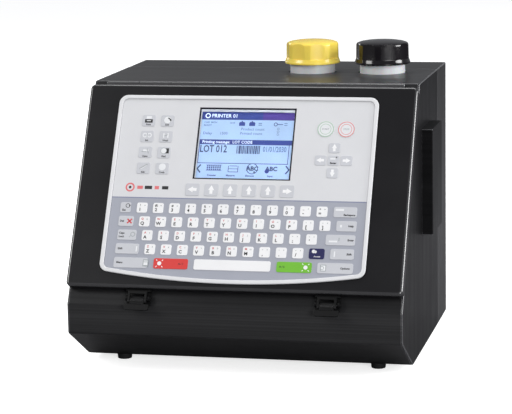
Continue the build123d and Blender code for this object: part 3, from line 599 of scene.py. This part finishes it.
# ---- printed film ----
# A polyester film lies inside the rim. Its upper part is printed pale grey and its lower
# part, round the keyboard, grey-blue, with a painted step shadow, a darker blue line, where
# they meet.
field_top = 0.1325
field_shadow_width = 0.0013
film = outline_sheet("panel_film_sheet", panel_outline(rim_width + 0.0002, 0.0068), "NGON")
open_mesh(film)
for across, up, normal in (
    (0, field_top, (0, 1, 0)),
    (0, field_top - field_shadow_width, (0, 1, 0)),
    (0, glass_low, (0, 1, 0)),
    (0, glass_high, (0, 1, 0)),
    (glass_left, 0, (1, 0, 0)),
    (glass_right, 0, (1, 0, 0)),
):
    bpy.ops.mesh.select_all(action="SELECT")
    bpy.ops.mesh.bisect(plane_co=(across, up, door_face), plane_no=normal)


def over_glass(face):
    """Whether a face of the film lies over the display's opening."""
    centre = face.calc_center_median()
    return glass_left < centre.x < glass_right and glass_low < centre.y < glass_high


pick("FACE", over_glass)
bpy.ops.mesh.delete(type="FACE")
bpy.ops.object.mode_set(mode="OBJECT")
film_finishes = [
    finish(name, moulded_grain, colour, contrast, roughness=0.42, relief=0.22)
    for name, colour, contrast in (
        ("film_pale_grey", (0.625, 0.63, 0.65), 0.025),
        ("film_grey_blue", (0.338, 0.352, 0.408), 0.03),
        ("film_painted_step_shadow", (0.21, 0.23, 0.33), 0.03),
    )
]
put_on(film, *film_finishes)
for face in film.data.polygons:
    if face.center.y < field_top - field_shadow_width:
        face.material_index = 1
    # The thin band just under the field's top edge takes the painted step shadow.
    elif face.center.y < field_top:
        face.material_index = 2
thicken(film, film_top - door_face)
smooth(film)
lay_on_slope(film)
stands_for(film, "panel_film", "door")

# ---- key pads ----
# Every key is an embossed pad of the film, in its own printed colour, with a soft shoulder.
# They are raised from the sheet in one pressing, so they have no gap round them.
for node, slot_name, colour in (
    ("letter_keys", "key_white", (0.80, 0.80, 0.81)),
    ("grey_keys", "key_grey", (0.53, 0.54, 0.575)),
    ("red_key", "key_red", (0.63, 0.045, 0.04)),
    ("green_key", "key_green", (0.16, 0.46, 0.035)),
    ("navy_key", "key_navy", (0.018, 0.018, 0.085)),
    ("round_keys", "key_white", (0.68, 0.69, 0.71)),
):
    key_finish = finish(node + "_print", moulded_grain, colour,
                        contrast=0.03, roughness=0.4, relief=0.18)
    shaped_pieces(key_finish, "door", {node: 0.00018})

# ---- key legends ----
# The legends are thin layers of screen ink on the pads: bold black signs with small red and
# grey ones above them, and words on the wide keys. Prints are placed in millimetres, across
# and up the slope, and turned by degrees.
key_top = film_top + 0.0005
ink_depth = 0.00005
printed = {}


def place_at(across, up, base, layer):
    """A place on the slope in metres, on one of the layers of ink above a base."""
    return (across / 1000, up / 1000, base + layer * ink_depth)


def stamp(ink, words, across, up, size, bold=0.0, align="CENTER", base=key_top, layer=0):
    """One word or sign in an ink, with its middle or its left end at a place."""
    bpy.ops.object.text_add(location=place_at(across, up, base, layer))
    sign = bpy.context.object
    sign.data.body = words
    sign.data.size = size / 1000
    sign.data.extrude = ink_depth
    sign.data.offset = bold / 1000
    sign.data.align_x = align
    sign.data.align_y = "CENTER"
    sign.data.resolution_u = 2
    printed.setdefault(ink, []).append(sign)


def bar(ink, across, up, width, height, turn=0, base=key_top, layer=0):
    """One printed block of ink, turned about its middle."""
    bpy.ops.mesh.primitive_cube_add(
        size=1,
        location=place_at(across, up, base, layer),
        rotation=(0, 0, math.radians(turn)),
        scale=(width / 1000, height / 1000, 2 * ink_depth),
    )
    printed.setdefault(ink, []).append(bpy.context.object)


def disc(ink, across, up, radius, corners=32, turn=0, base=key_top, layer=0):
    """One printed disc, or a shape with few corners such as an arrow head."""
    bpy.ops.mesh.primitive_cylinder_add(
        vertices=corners,
        radius=radius / 1000,
        depth=2 * ink_depth,
        location=place_at(across, up, base, layer),
        rotation=(0, 0, math.radians(turn)),
    )
    printed.setdefault(ink, []).append(bpy.context.object)


def ring(ink, across, up, radius, width, base=key_top, layer=0):
    """One printed ring."""
    bpy.ops.mesh.primitive_torus_add(
        major_radius=radius / 1000,
        minor_radius=width / 2000,
        major_segments=40,
        minor_segments=6,
        location=place_at(across, up, base, layer),
    )
    hoop = bpy.context.object
    hoop.scale.z = 2 * ink_depth / (width / 1000)
    printed.setdefault(ink, []).append(hoop)


def print_layer(ink, name, material):
    """Joins all that was stamped in one ink into one piece on the slope."""
    marks = printed.pop(ink)
    take(*marks)
    bpy.ops.object.convert(target="MESH")
    marks = list(bpy.context.selected_objects)
    take(*marks)
    bpy.ops.object.join()
    layer = bpy.context.object
    layer.name = name
    lay_on_slope(layer)
    put_on(layer, material)
    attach(layer, "door")


def ink_finish(name, colour):
    """Screen ink: nearly flat, with a slightly uneven lay."""
    return finish(name, moulded_grain, colour, contrast=0.06, roughness=0.45, relief=0.1)


key_pitch = 20.1
row_pitch = 17.5
row_top = 118.8
key_rows = (
    (-119.9, "1234567890-=", "!@#$%^&*()_+"),
    (-115, "QWERTYUIOP[]", ""),
    (-109.6, "ASDFGHJKL;'", ""),
    (-104.3, "ZXCVBNM,./", ""),
)
rows = [row_top - row_pitch * k for k in range(5)]
for up, (start, signs, above) in zip(rows, key_rows):
    for k, sign in enumerate(signs):
        across = start + k * key_pitch
        stamp("black", sign, across - 2.4, up - 2.5, 5.6, 0.18)
        if above:
            stamp("black", above[k], across - 2.4, up + 3, 3.6, 0.14)
            bar("grey", across + 3.4, up + 3, 1.4, 1)
        elif sign.isalpha():
            stamp("red", sign, across - 2.6, up + 3.2, 3.6, 0.08)
            stamp("grey", sign.lower(), across + 3, up + 3.2, 3.2, 0.06)
        else:
            bar("grey", across - 2.6, up + 3.2, 1.4, 0.6)
            bar("grey", across + 3, up + 3.2, 0.8, 1.4)
bottom_row = rows[4]
for words, across, up in (
    ("Esc", -142, rows[0] - 3.4),
    ("Del", -143, rows[1]),
    ("Caps", -141.4, rows[2] + 2.2),
    ("Lock", -141.4, rows[2] - 2.2),
    ("Shift", -141.2, rows[3]),
    ("Menu", -140, bottom_row),
    ("Backspace", 134.5, rows[0] - 3.6),
    ("Help", 137.5, rows[1]),
    ("Enter", 138.5, rows[2]),
    ("Shift", 138, rows[3]),
    ("Options", 134.5, bottom_row),
):
    stamp("black", words, across, up, 3.4, 0.12)
stamp("black", "A / 1", -64, bottom_row, 3.2, 0.1)
stamp("black", "A / 2", 59, bottom_row, 3.2, 0.1)

# Small signs beside the words: a turned arrow, a cross, two pages and plain bars.
ring("black", -137.8, rows[0] + 2.2, 2.4, 0.7)
disc("black", -135.4, rows[0] + 2.2, 1.4, 3, 180)
for turn in (45, -45):
    bar("red", -133.5, rows[1], 8, 1.7, turn)
ring("grey", -127.5, rows[2] + 0.8, 2.6, 0.8)
bar("grey", -130.5, rows[2] - 1.4, 4, 0.6, 55)
bar("grey", -107.5, bottom_row, 6.8, 8.6)
bar("pale", -107.5, bottom_row + 2.4, 5.2, 1.4, layer=1)
bar("pale", -107.5, bottom_row - 1, 5.2, 3.8, layer=1)
bar("pale", -120.8, rows[3], 1.6, 6.8)
bar("pale", 120.5, rows[3], 1.6, 6.8)
bar("pale", 122.5, rows[0] + 2.8, 10, 2.6)
bar("pale", 117.5, rows[2] - 1.8, 10, 2.2)
bar("grey", 124.5, rows[2] + 1, 0.9, 4)
bar("pale", 125.5, rows[1], 2.2, 3)
bar("grey", 108.5, bottom_row, 7, 8)
bar("pale", 108.5, bottom_row, 5.4, 6.4, layer=1)
ring("grey", 107.2, bottom_row, 2, 0.6, layer=2)

# The red and green keys carry a plain disc between four corner ticks, and the navy key a
# pair of discs over a word.
for across in (-90.5, 87.5):
    disc("white", across, bottom_row, 2.5)
    for side in (-1, 1):
        for end in (-1, 1):
            bar("white", across + 3.6 * side, bottom_row + 4 * end, 2, 0.9, 45 * side * end)
disc("white", 95.5, rows[3] + 2.8, 2.2)
disc("white", 97.5, rows[3] + 2.2, 1.7)
stamp("white", "Access", 100, rows[3] - 3.6, 2.8, 0.04)

# ---- function keys beside the display ----
# Eight picture keys on the left, six arrow keys under the display, a cross of arrows round
# an enter key, and two round keys that start and stop the printing.
left_column = -124.2
right_column = -100.6
menu_top = 232
menu_pitch = 20.7
menu_words = (("Print", "Exit"), ("Ink", "Wash"), ("Open", "Find"), ("Edit", "Code"))
for k, (left_word, right_word) in enumerate(menu_words):
    word_up = menu_top - menu_pitch * k - 5.3
    stamp("black", left_word, left_column, word_up, 3.1, 0.1)
    stamp("black", right_word, right_column, word_up, 3.1, 0.1)
bar("black", left_column, menu_top - 0.6, 9.8, 4.6)
bar("pale", left_column, menu_top - 0.2, 5, 1.1, layer=1)
bar("pale", left_column, menu_top + 4, 6.4, 3.4)
disc("pale", right_column, menu_top + 1, 4.6)
ring("grey", right_column, menu_top + 1, 4.6, 0.6)
bar("black", right_column + 2.2, menu_top + 2.6, 4, 1.4, -35, layer=1)
disc("black", right_column + 3.8, menu_top + 0.6, 1.6, 3, 180, layer=1)
second = menu_top - menu_pitch
for side in (-1, 1):
    ring("pale", left_column + 2.8 * side, second + 1.4, 2.4, 1.2)
    bar("pale", right_column + 2.6 * side, second + 1.4, 1.6, 6)
bar("grey", left_column, second + 1.4, 0.8, 5)
bar("grey", right_column, second + 1.4, 4.6, 0.8, 25)
third = menu_top - 2 * menu_pitch
bar("grey", left_column - 1.8, third + 0.6, 6, 0.8)
bar("grey", left_column + 3, third + 1.4, 0.8, 6.6, 20)
bar("pale", left_column + 0.6, third + 2.2, 7, 2.4)
bar("black", right_column + 2.8, third + 2, 6.4, 6.6)
disc("pale", right_column - 0.6, third + 2, 3.4, layer=1)
ring("grey", right_column - 0.6, third + 2, 3.6, 0.6, layer=1)
fourth = menu_top - 3 * menu_pitch
bar("grey", left_column, fourth + 2, 11, 1, 32)
bar("pale", left_column, fourth + 1.4, 9, 1.6, 32)
disc("pale", right_column, fourth + 1.8, 4.4)
for side in (-1, 1):
    ring("grey", right_column + 1.4 * side, fourth + 1.8, 2.8, 0.6)


def arrow(across, up, quarter, size):
    """A white arrow that points right, turned by quarters."""
    turn = 90 * quarter
    along = size * math.cos(math.radians(turn))
    rise = size * math.sin(math.radians(turn))
    bar("white", across - 0.28 * along, up - 0.28 * rise, 0.55 * size, 0.40 * size, turn)
    disc("white", across + 0.18 * along, up + 0.18 * rise, 0.46 * size, 3, turn - 90)


soft_row = 143.5
for k, quarter in enumerate((2, 1, 1, 1, 1, 0)):
    arrow(-59.8 + 23.25 * k, soft_row, quarter, 9.2)
cross_middle = 109.4
cross_up = 184
for quarter, side, rise in ((0, 1, 0), (1, 0, 1), (2, -1, 0), (3, 0, -1)):
    arrow(cross_middle + 15.7 * side, cross_up + 16 * rise, quarter, 7.8)
bar("pale", cross_middle - 0.8, cross_up + 2, 6.4, 1.8)
bar("black", cross_middle + 3.6, cross_up + 3.8, 1.4, 1.6)
stamp("black", "Enter", cross_middle, cross_up - 3.6, 3.5, 0.14)
round_up = 224
for across, ink in ((96.7, "start"), (121.9, "stop")):
    ring(ink, across, round_up, 9.5, 0.9)
    ring(ink, across, round_up, 6.6, 0.6)
    stamp("grey", ink.upper(), across, round_up, 3, 0.03)

# ---- maker's corner ----
# Where a maker would print a name there is a plain ring and four bars instead, in the same
# screen ink, straight on the film.
sign_up = 145
ring("stop", -138, sign_up, 4.8, 2, base=film_top)
disc("black", -138, sign_up, 1.7, base=film_top)
for k, length in enumerate((8.5, 11, 6.5, 9.5)):
    ink = "black" if k % 2 else "stop"
    bar(ink, -125.5 + 10.5 * k, sign_up, 0.82 * length, 4.2, base=film_top)

for ink, colour, slot_name in (
    ("black", (0.02, 0.02, 0.022), "key_white"),
    ("red", (0.55, 0.05, 0.06), "key_red"),
    ("grey", (0.30, 0.33, 0.34), "key_grey"),
    ("pale", (0.74, 0.75, 0.77), "key_white"),
    ("white", (0.82, 0.82, 0.83), "key_white"),
):
    print_layer(ink, "legends_" + ink, ink_finish("ink_" + ink, colour))
print_layer("start", "start_rings", ink_finish("ink_start", (0.32, 0.48, 0.35)))
print_layer("stop", "stop_rings", ink_finish("ink_stop", (0.66, 0.16, 0.17)))

# ---- display ----
# A backlit picture under a clear window, in a white surround. The picture shows status
# lines, two bottles, a message with bars and a date, and a row of small pictures.
screen_level = door_face - door_sheet + 0.0003
screen_left = -58.3
screen_right = 56.9
screen_low = 159.2
screen_high = 245.6
display_glow = surface_group("display_glow")
backlight = noise_at(display_glow, (14, 6, 14), 2.0)
cells = noise_at(display_glow, (2600, 2600, 2600), 0.0)
glow_shift = worked(display_glow, "ADD", ranged(display_glow, backlight, -1.0, 1.0),
                    ranged(display_glow, cells, -0.3, 0.3))
put_out(display_glow, glow_shift, ranged(display_glow, cells, -0.02, 0.02), cells, 0.00005)


def lit(name, colour, glow, contrast=0.06):
    """A part of the picture: its own colour, lit from behind."""
    material = finish(name, display_glow, colour, contrast, roughness=0.35, relief=0.05,
                      Emission_Strength=glow)
    sockets = material.node_tree.nodes["Principled BSDF"].inputs
    varied = sockets["Base Color"].links[0].from_socket
    material.node_tree.links.new(varied, sockets["Emission Color"])
    return material


def screen_bar(ink, left, low, wide, tall, layer=1):
    """A block of the picture, from its lower left corner."""
    bar(ink, screen_left + left + wide / 2, screen_low + low + tall / 2, wide, tall, 0,
        screen_level, layer)


def screen_words(ink, words, left, low, size, bold=0.0, layer=1, stretch=1.0):
    """Words of the picture, from their left end, drawn taller by a stretch."""
    stamp(ink, words, screen_left + left, screen_low + low, size, bold, "LEFT",
          screen_level, layer)
    printed[ink][-1].scale.y = stretch


def screen_ring(ink, left, low, radius, width, layer=1):
    """A ring of the picture."""
    ring(ink, screen_left + left, screen_low + low, radius, width, screen_level, layer)


screen_bar("field", 0, 0, screen_right - screen_left, screen_high - screen_low, 0)
screen_bar("navy", 0, 76.5, 76, 9.9)
screen_bar("violet", 76, 76.5, 39.2, 9.9)
screen_ring("bright", 7.2, 81.5, 2.7, 1.2, 2)
screen_words("bright", "PRINTER 01", 12, 81.3, 6.4, 0.1, 2)
for words, left, low, size, bold in (
    ("12:00  MON", 3, 72.8, 3.2, 0.08),
    ("READY", 3, 69, 3.2, 0.08),
    ("Delay", 3, 58.6, 4.9, 0.08),
    ("1500", 24, 58.6, 4.9, 0.08),
    ("Level", 35.5, 72.6, 3, 0.08),
    ("Product count", 50, 64.4, 5, 0.05),
    ("Printed count", 49.2, 58.8, 5, 0.05),
):
    screen_words("faint", words, left, low, size, bold)
for left in (47, 59.6):
    screen_bar("navy", left, 68.8, 7.4, 4.3)
    screen_bar("navy", left + 0.9, 72.9, 5.6, 0.9)
    screen_bar("navy", left + 2.9, 73.4, 1.5, 1.6)
screen_bar("faint", 71, 71.8, 4.4, 1.1)
screen_bar("faint", 71, 69.5, 4.4, 1.1)
screen_ring("navy", 92.5, 71.2, 2, 0.9)
screen_bar("navy", 94.6, 70.7, 7, 0.9)
screen_bar("faint", 103, 72, 4, 1)
screen_bar("faint", 103, 69.6, 4, 1)
for low in (58.2, 61.8, 65.4):
    screen_ring("faint", 96.2, low, 1.2, 0.5)
screen_bar("navy", 0, 44.2, 115.2, 6.3)
screen_words("bright", "Printing message:  LOT CODE", 3.4, 47.3, 5, 0.06, 2)
screen_words("dark", "LOT 012", 1.2, 38, 9.2, 0.2, stretch=1.4)
bar_widths = (0.8, 0.5, 2.4, 1, 1.4, 0.8, 1, 1.9, 0.9, 1.5, 1, 1.6, 1.9, 1.1, 1.3)
left = 47
for wide in bar_widths:
    screen_bar("dark", left, 32.6, wide, 10.4)
    left += wide + 0.7
screen_words("faint", "01/01/2030", 79.5, 38.4, 6.4, 0.16, stretch=1.5)
screen_bar("navy", 0, 19.5, 112, 0.8)
screen_bar("navy", 111.2, 19.5, 0.8, 24.8)
screen_bar("navy", 0, 19.5, 0.7, 24.8)
for left, side in ((2.6, 1), (112, -1)):
    for end in (-1, 1):
        bar("dark", screen_left + left, screen_low + 12.6 + 2.5 * end, 6.6, 1.7,
            52 * end * side, screen_level, 1)
for row in range(3):
    for column in range(7):
        screen_bar("navy", 12.4 + 2.6 * column, 11 + 2.2 * row, 1.9, 1.5)
for left, low, wide, tall in (
    (11.6, 10.2, 19.4, 0.5),
    (11.6, 17.3, 19.4, 0.5),
    (39.5, 8.6, 11.5, 0.7),
    (40.5, 16.3, 9.5, 0.7),
    (38.9, 8.6, 0.7, 8.2),
    (50.8, 8.6, 0.7, 8.2),
    (39.5, 12.6, 11.5, 0.6),
):
    screen_bar("navy", left, low, wide, tall)
for left in (61.5, 85):
    screen_words("dark", "ABC", left, 13.4, 7.6, 0.3)
screen_ring("navy", 68.8, 13.4, 6.6, 0.9)
disc("dark", screen_left + 71.5, screen_low + 9.2, 1.8, 3, 0, screen_level, 1)
disc("navy", screen_left + 87, screen_low + 10.4, 2.6, 32, 0, screen_level, 1)
for words, left in (("Counter", 13.5), ("Message", 37), ("Element", 61), ("Input", 88)):
    screen_words("navy", words, left, 4.2, 3.3, 0.1)

print_layer("field", "display_field", lit("display_blue", (0.41, 0.575, 0.82), 0.27, 0.16))
for ink, colour, glow in (
    ("navy", (0.045, 0.07, 0.29), 0.3),
    ("violet", (0.085, 0.055, 0.29), 0.3),
    ("bright", (0.74, 0.86, 0.98), 0.6),
    ("faint", (0.13, 0.22, 0.44), 0.3),
    ("dark", (0.05, 0.08, 0.21), 0.3),
):
    print_layer(ink, "display_" + ink, lit("display_" + ink, colour, glow))

# Round the picture lie a white surround, in the glass's opening, and a dark border on it.
left, right, low, high = (1000 * edge for edge in (glass_left, glass_right, glass_low, glass_high))
for ink, print_name, colour, base, corners in (
    ("surround", "surround_white", (0.72, 0.76, 0.82), door_face - 0.0001, (
        (left + 0.6, low + 0.6, screen_left, high - 0.6),
        (screen_right, low + 0.6, right - 0.6, high - 0.6),
        (screen_left, screen_high, screen_right, high - 0.6),
        (screen_left, low + 0.6, screen_right, screen_low),
    )),
    ("border", "border_dark", (0.05, 0.05, 0.07), door_face + 0.0008, (
        (left, high - 0.95, right, high - 0.05),
        (left, low + 0.1, right, low + 0.7),
        (left + 0.05, low, left + 0.75, high),
        (right - 0.75, low, right - 0.05, high),
    )),
):
    for start, foot, end, top in corners:
        bar(ink, (start + end) / 2, (foot + top) / 2, end - start, top - foot, base=base)
    print_layer(ink, "display_" + ink, ink_finish(print_name, colour))

glass_finish = finish("window_clear", moulded_grain, (0.97, 0.98, 1.0),
                      contrast=0.01, roughness=0.07, relief=0.02,
                      Transmission_Weight=1.0, IOR=1.05)
put_on(nodes["lcd_window"], glass_finish)

# ---- behind the door ----
# The display module sits in its pressed steel can behind the window. Plated bosses on the
# door's inside carry the keyboard's green board.
board_pattern = surface_group("board_pattern")
board_place = shader_node(board_pattern, "TexCoord")
board_turn = shader_node(board_pattern, "Mapping", Rotation=(math.radians(90), 0, 0))
board_pattern.links.new(board_place.outputs["Object"], board_turn.inputs["Vector"])
tracks = shader_node(board_pattern, "TexBrick", Scale=90.0, Color1=(0, 0, 0, 1),
                     Color2=(0.25, 0.25, 0.25, 1), Mortar=(1, 1, 1, 1))
tracks.inputs["Mortar Size"].default_value = 0.012
board_pattern.links.new(board_turn.outputs["Vector"], tracks.inputs["Vector"])
board_cloud = ranged(board_pattern, noise_at(board_pattern, (20, 20, 20), 3.0), -0.06, 0.06)
put_out(board_pattern, tracks.outputs["Color"], board_cloud, tracks.outputs["Color"], 0.0001,
        base=0.8)
board_finish = finish("circuit_board_green", board_pattern, (0.02, 0.15, 0.06),
                      contrast=0.9, roughness=0.32, relief=0.3)
steel_finish = finish("inner_steel", worked_metal, (0.60, 0.61, 0.62),
                      contrast=0.16, roughness=0.42, relief=0.2, metallic=0.75)
shaped_pieces(steel_finish, "door", {"lcd_module": 0.0004})
shaped_pieces(plated_finish, "door", {"board_bosses": 0.0003, "hinge_pin": 0.0})
shaped_pieces(board_finish, "door", {"display_board": 0.0003})

# ---- hinge and latches ----
# A long folded hinge with nine knuckles under the top bend, and two black draw latches that
# hook the door's lower flange. The latches are pressed from steel and coated matt black.
latch_finish = finish("latch_coating", moulded_grain, (0.0032, 0.0032, 0.0036),
                      contrast=0.2, roughness=0.48, relief=0.25, specular=0.22)
# The hinge is black; its colour is raised to a dark grey as a painted highlight along the door's
# top bend.
hinge_painted_highlight_finish = finish("hinge_black_painted_highlight", moulded_grain, (0.05, 0.05, 0.053),
                      contrast=0.15, roughness=0.26, relief=0.1, specular=0.65)
shaped_pieces(hinge_painted_highlight_finish, "cabinet", {"hinge_leaf_fixed": 0.0002})
shaped_pieces(hinge_painted_highlight_finish, "door", {"hinge_leaf_moving": 0.0002})
shaped_pieces(latch_finish, "door", {"latch_lugs": 0.0003})
shaped_pieces(latch_finish, "cabinet", {"latch_bases": 0.0003})
for side in ("left", "right"):
    shaped_pieces(latch_finish, side + "_lever", {side + "_latch_lever": 0.0004})
    shaped_pieces(latch_finish, side + "_link", {side + "_latch_link": 0.0003})

# ---- filler caps ----
# Two glossy moulded screw caps, yellow for ink and black for the make-up fluid: a flared
# rim, eight shallow finger flats with narrow ridges between, and a low domed top.
cap_low = 0.0114
cap_edge = 0.0376
cap_top = 0.041
cap_body = 0.033
cap_rim = 0.0351
cap_bore = 0.031
cap_roof = 0.0322
grip_count = 8
grip_radius = 0.060
grip_depth = 0.0018
grip_low = cap_low + 0.0062
grip_tall = 0.05
cap_profile = (
    (cap_bore, cap_low),
    (cap_rim - 0.0004, cap_low),
    (cap_rim, cap_low + 0.0004),
    (cap_rim, cap_low + 0.0022),
    (cap_rim - 0.0005, cap_low + 0.0031),
    (cap_body + 0.0009, cap_low + 0.0054),
    (cap_body + 0.0004, cap_low + 0.0066),
    (cap_body, cap_edge - 0.0030),
    (cap_body - 0.0004, cap_edge - 0.0014),
    (cap_body - 0.0012, cap_edge - 0.0003),
    (cap_body - 0.0026, cap_edge + 0.0003),
    (cap_body * 0.84, cap_edge + 0.0012),
    (cap_body * 0.66, cap_top - 0.0012),
    (cap_body * 0.34, cap_top - 0.0003),
    (0.0, cap_top),
    (0.0, cap_roof),
    (cap_bore, cap_roof),
)
cabinet_top = wrapper_high.z


def filler_cap(name, centre):
    """Spins the cap's hollow section about its neck, and cuts the finger flats."""
    points = [(centre.x + r, centre.y, cabinet_top + z) for r, z in cap_profile]
    cap = outline_sheet(name, points)
    open_mesh(cap)
    bpy.ops.mesh.spin(steps=128, angle=2 * math.pi, center=centre, axis=(0, 0, 1))
    bpy.ops.mesh.select_all(action="SELECT")
    bpy.ops.mesh.remove_doubles(threshold=0.00002)
    bpy.ops.mesh.normals_make_consistent(inside=False)
    bpy.ops.object.mode_set(mode="OBJECT")
    cutters = []
    for k in range(grip_count):
        turn = math.radians(360 / grip_count * (k + 0.5))
        reach = cap_body - grip_depth + grip_radius
        bpy.ops.mesh.primitive_cylinder_add(
            vertices=256,
            radius=grip_radius,
            depth=grip_tall,
            location=(centre.x + reach * math.cos(turn), centre.y + reach * math.sin(turn),
                      cabinet_top + grip_low + grip_tall / 2),
        )
        cutters.append(bpy.context.object)
    cut_away(cap, *cutters)
    open_mesh(cap)
    bpy.ops.mesh.remove_doubles(threshold=0.00004)
    bpy.ops.object.mode_set(mode="OBJECT")
    break_edges(cap, 0.0006, 3, 14)
    apply_modifiers(cap)
    smooth(cap, 50)
    return cap


yellow_finish = finish("cap_yellow_gloss", moulded_grain, (0.925, 0.68, 0.105),
                       contrast=0.03, roughness=0.24, relief=0.05,
                       Coat_Weight=0.25, Coat_Roughness=0.12, Subsurface_Weight=0.08)
gloss_black_finish = finish("cap_black_gloss", moulded_grain, (0.0042, 0.003, 0.0046),
                            contrast=0.08, roughness=0.14, relief=0.04,
                            Coat_Weight=0.25, Coat_Roughness=0.06)
for liquid, cap_finish, slot_name in (
    ("ink", yellow_finish, "cap_yellow"),
    ("solvent", gloss_black_finish, "cap_black"),
):
    low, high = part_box(liquid + "_cap")
    neck = Vector(((low.x + high.x) / 2, (low.y + high.y) / 2, 0))
    cap = filler_cap(liquid + "_cap_moulding", neck)
    put_on(cap, cap_finish)
    stands_for(cap, liquid + "_cap", liquid + "_knob")

# ---- tanks and seals ----
# Milky blown tanks whose ringed necks stand through the top, with soft white discs that
# seal the caps.
milky_finish = finish("tank_milky", moulded_grain, (0.60, 0.612, 0.635),
                      contrast=0.06, roughness=0.35, relief=0.12,
                      Subsurface_Weight=0.3, Subsurface_Scale=0.004)
seal_finish = finish("seal_white", moulded_grain, (0.74, 0.74, 0.72),
                     contrast=0.05, roughness=0.6, relief=0.3)
shaped_pieces(milky_finish, "cabinet", {"ink_tank": 0.0003, "solvent_tank": 0.0003})
for liquid in ("ink", "solvent"):
    shaped_pieces(seal_finish, liquid + "_seal", {liquid + "_cap_seal": 0.0003})

# ---- fan ----
# An ordinary bought fan behind the side sheet, with seven blades. Its frame and rotor are
# moulded in black plastic, and the frame is screwed to the sheet.
black_plastic_finish = finish("black_moulding", moulded_grain, (0.016, 0.016, 0.018),
                              contrast=0.15, roughness=0.42, relief=0.4)
shaped_pieces(black_plastic_finish, "cabinet", {"fan_frame": 0.0004})
shaped_pieces(black_plastic_finish, "fan", {"fan_rotor": 0.0002})

# ---- electronics ----
# A folded steel plate with the main board and its parts, and a power supply in a steel case.
# The drip tray and the ring inside the rear seam are bare steel as well.
shaped_pieces(steel_finish, "cabinet",
              {"electronics_plate": 0.0003, "power_supply": 0.0004, "seam_ring": 0.0003,
               "drip_tray": 0.0004})
shaped_pieces(board_finish, "cabinet", {"main_board": 0.0002})
shaped_pieces(black_plastic_finish, "cabinet", {"board_components": 0.0004})

# ---- ink system ----
# A gear pump and its motor, the valve block and the moulded main filter. One milky tube runs
# from each tank to the pump's head.
pump_finish = finish("pump_alloy", worked_metal, (0.60, 0.61, 0.62),
                     contrast=0.12, roughness=0.32, relief=0.2, metallic=1.0)
filter_finish = finish("filter_moulding", moulded_grain, (0.66, 0.68, 0.70),
                       contrast=0.05, roughness=0.42, relief=0.25)
hose_finish = finish("hose_milky", moulded_grain, (0.46, 0.48, 0.52),
                     contrast=0.07, roughness=0.3, relief=0.1,
                     Subsurface_Weight=0.3, Subsurface_Scale=0.003)
shaped_pieces(pump_finish, "cabinet",
              {"pump_motor": 0.0005, "pump_head": 0.0005, "valve_block": 0.0005})
shaped_pieces(pump_finish, "pump_drive", {"pump_coupling": 0.0003})
shaped_pieces(filter_finish, "cabinet", {"main_filter": 0.0008})
shaped_pieces(hose_finish, "cabinet", {"feed_hoses": 0.0})

# ---- rear connections ----
# A mains inlet with its switch, a gland for the print head's umbilical, and three capped
# sensor sockets.
brass_finish = finish("pin_brass", worked_metal, (0.68, 0.50, 0.22),
                      contrast=0.1, roughness=0.25, relief=0.1, metallic=1.0)
shaped_pieces(black_plastic_finish, "cabinet",
              {"mains_inlet": 0.0004, "umbilical_gland": 0.0004, "gland_locknut": 0.0004})
shaped_pieces(black_plastic_finish, "rocker", {"rocker_switch": 0.0003})
shaped_pieces(rubber_finish, "cabinet", {"socket_dust_caps": 0.0006})
shaped_pieces(brass_finish, "cabinet", {"inlet_pins": 0.0002})
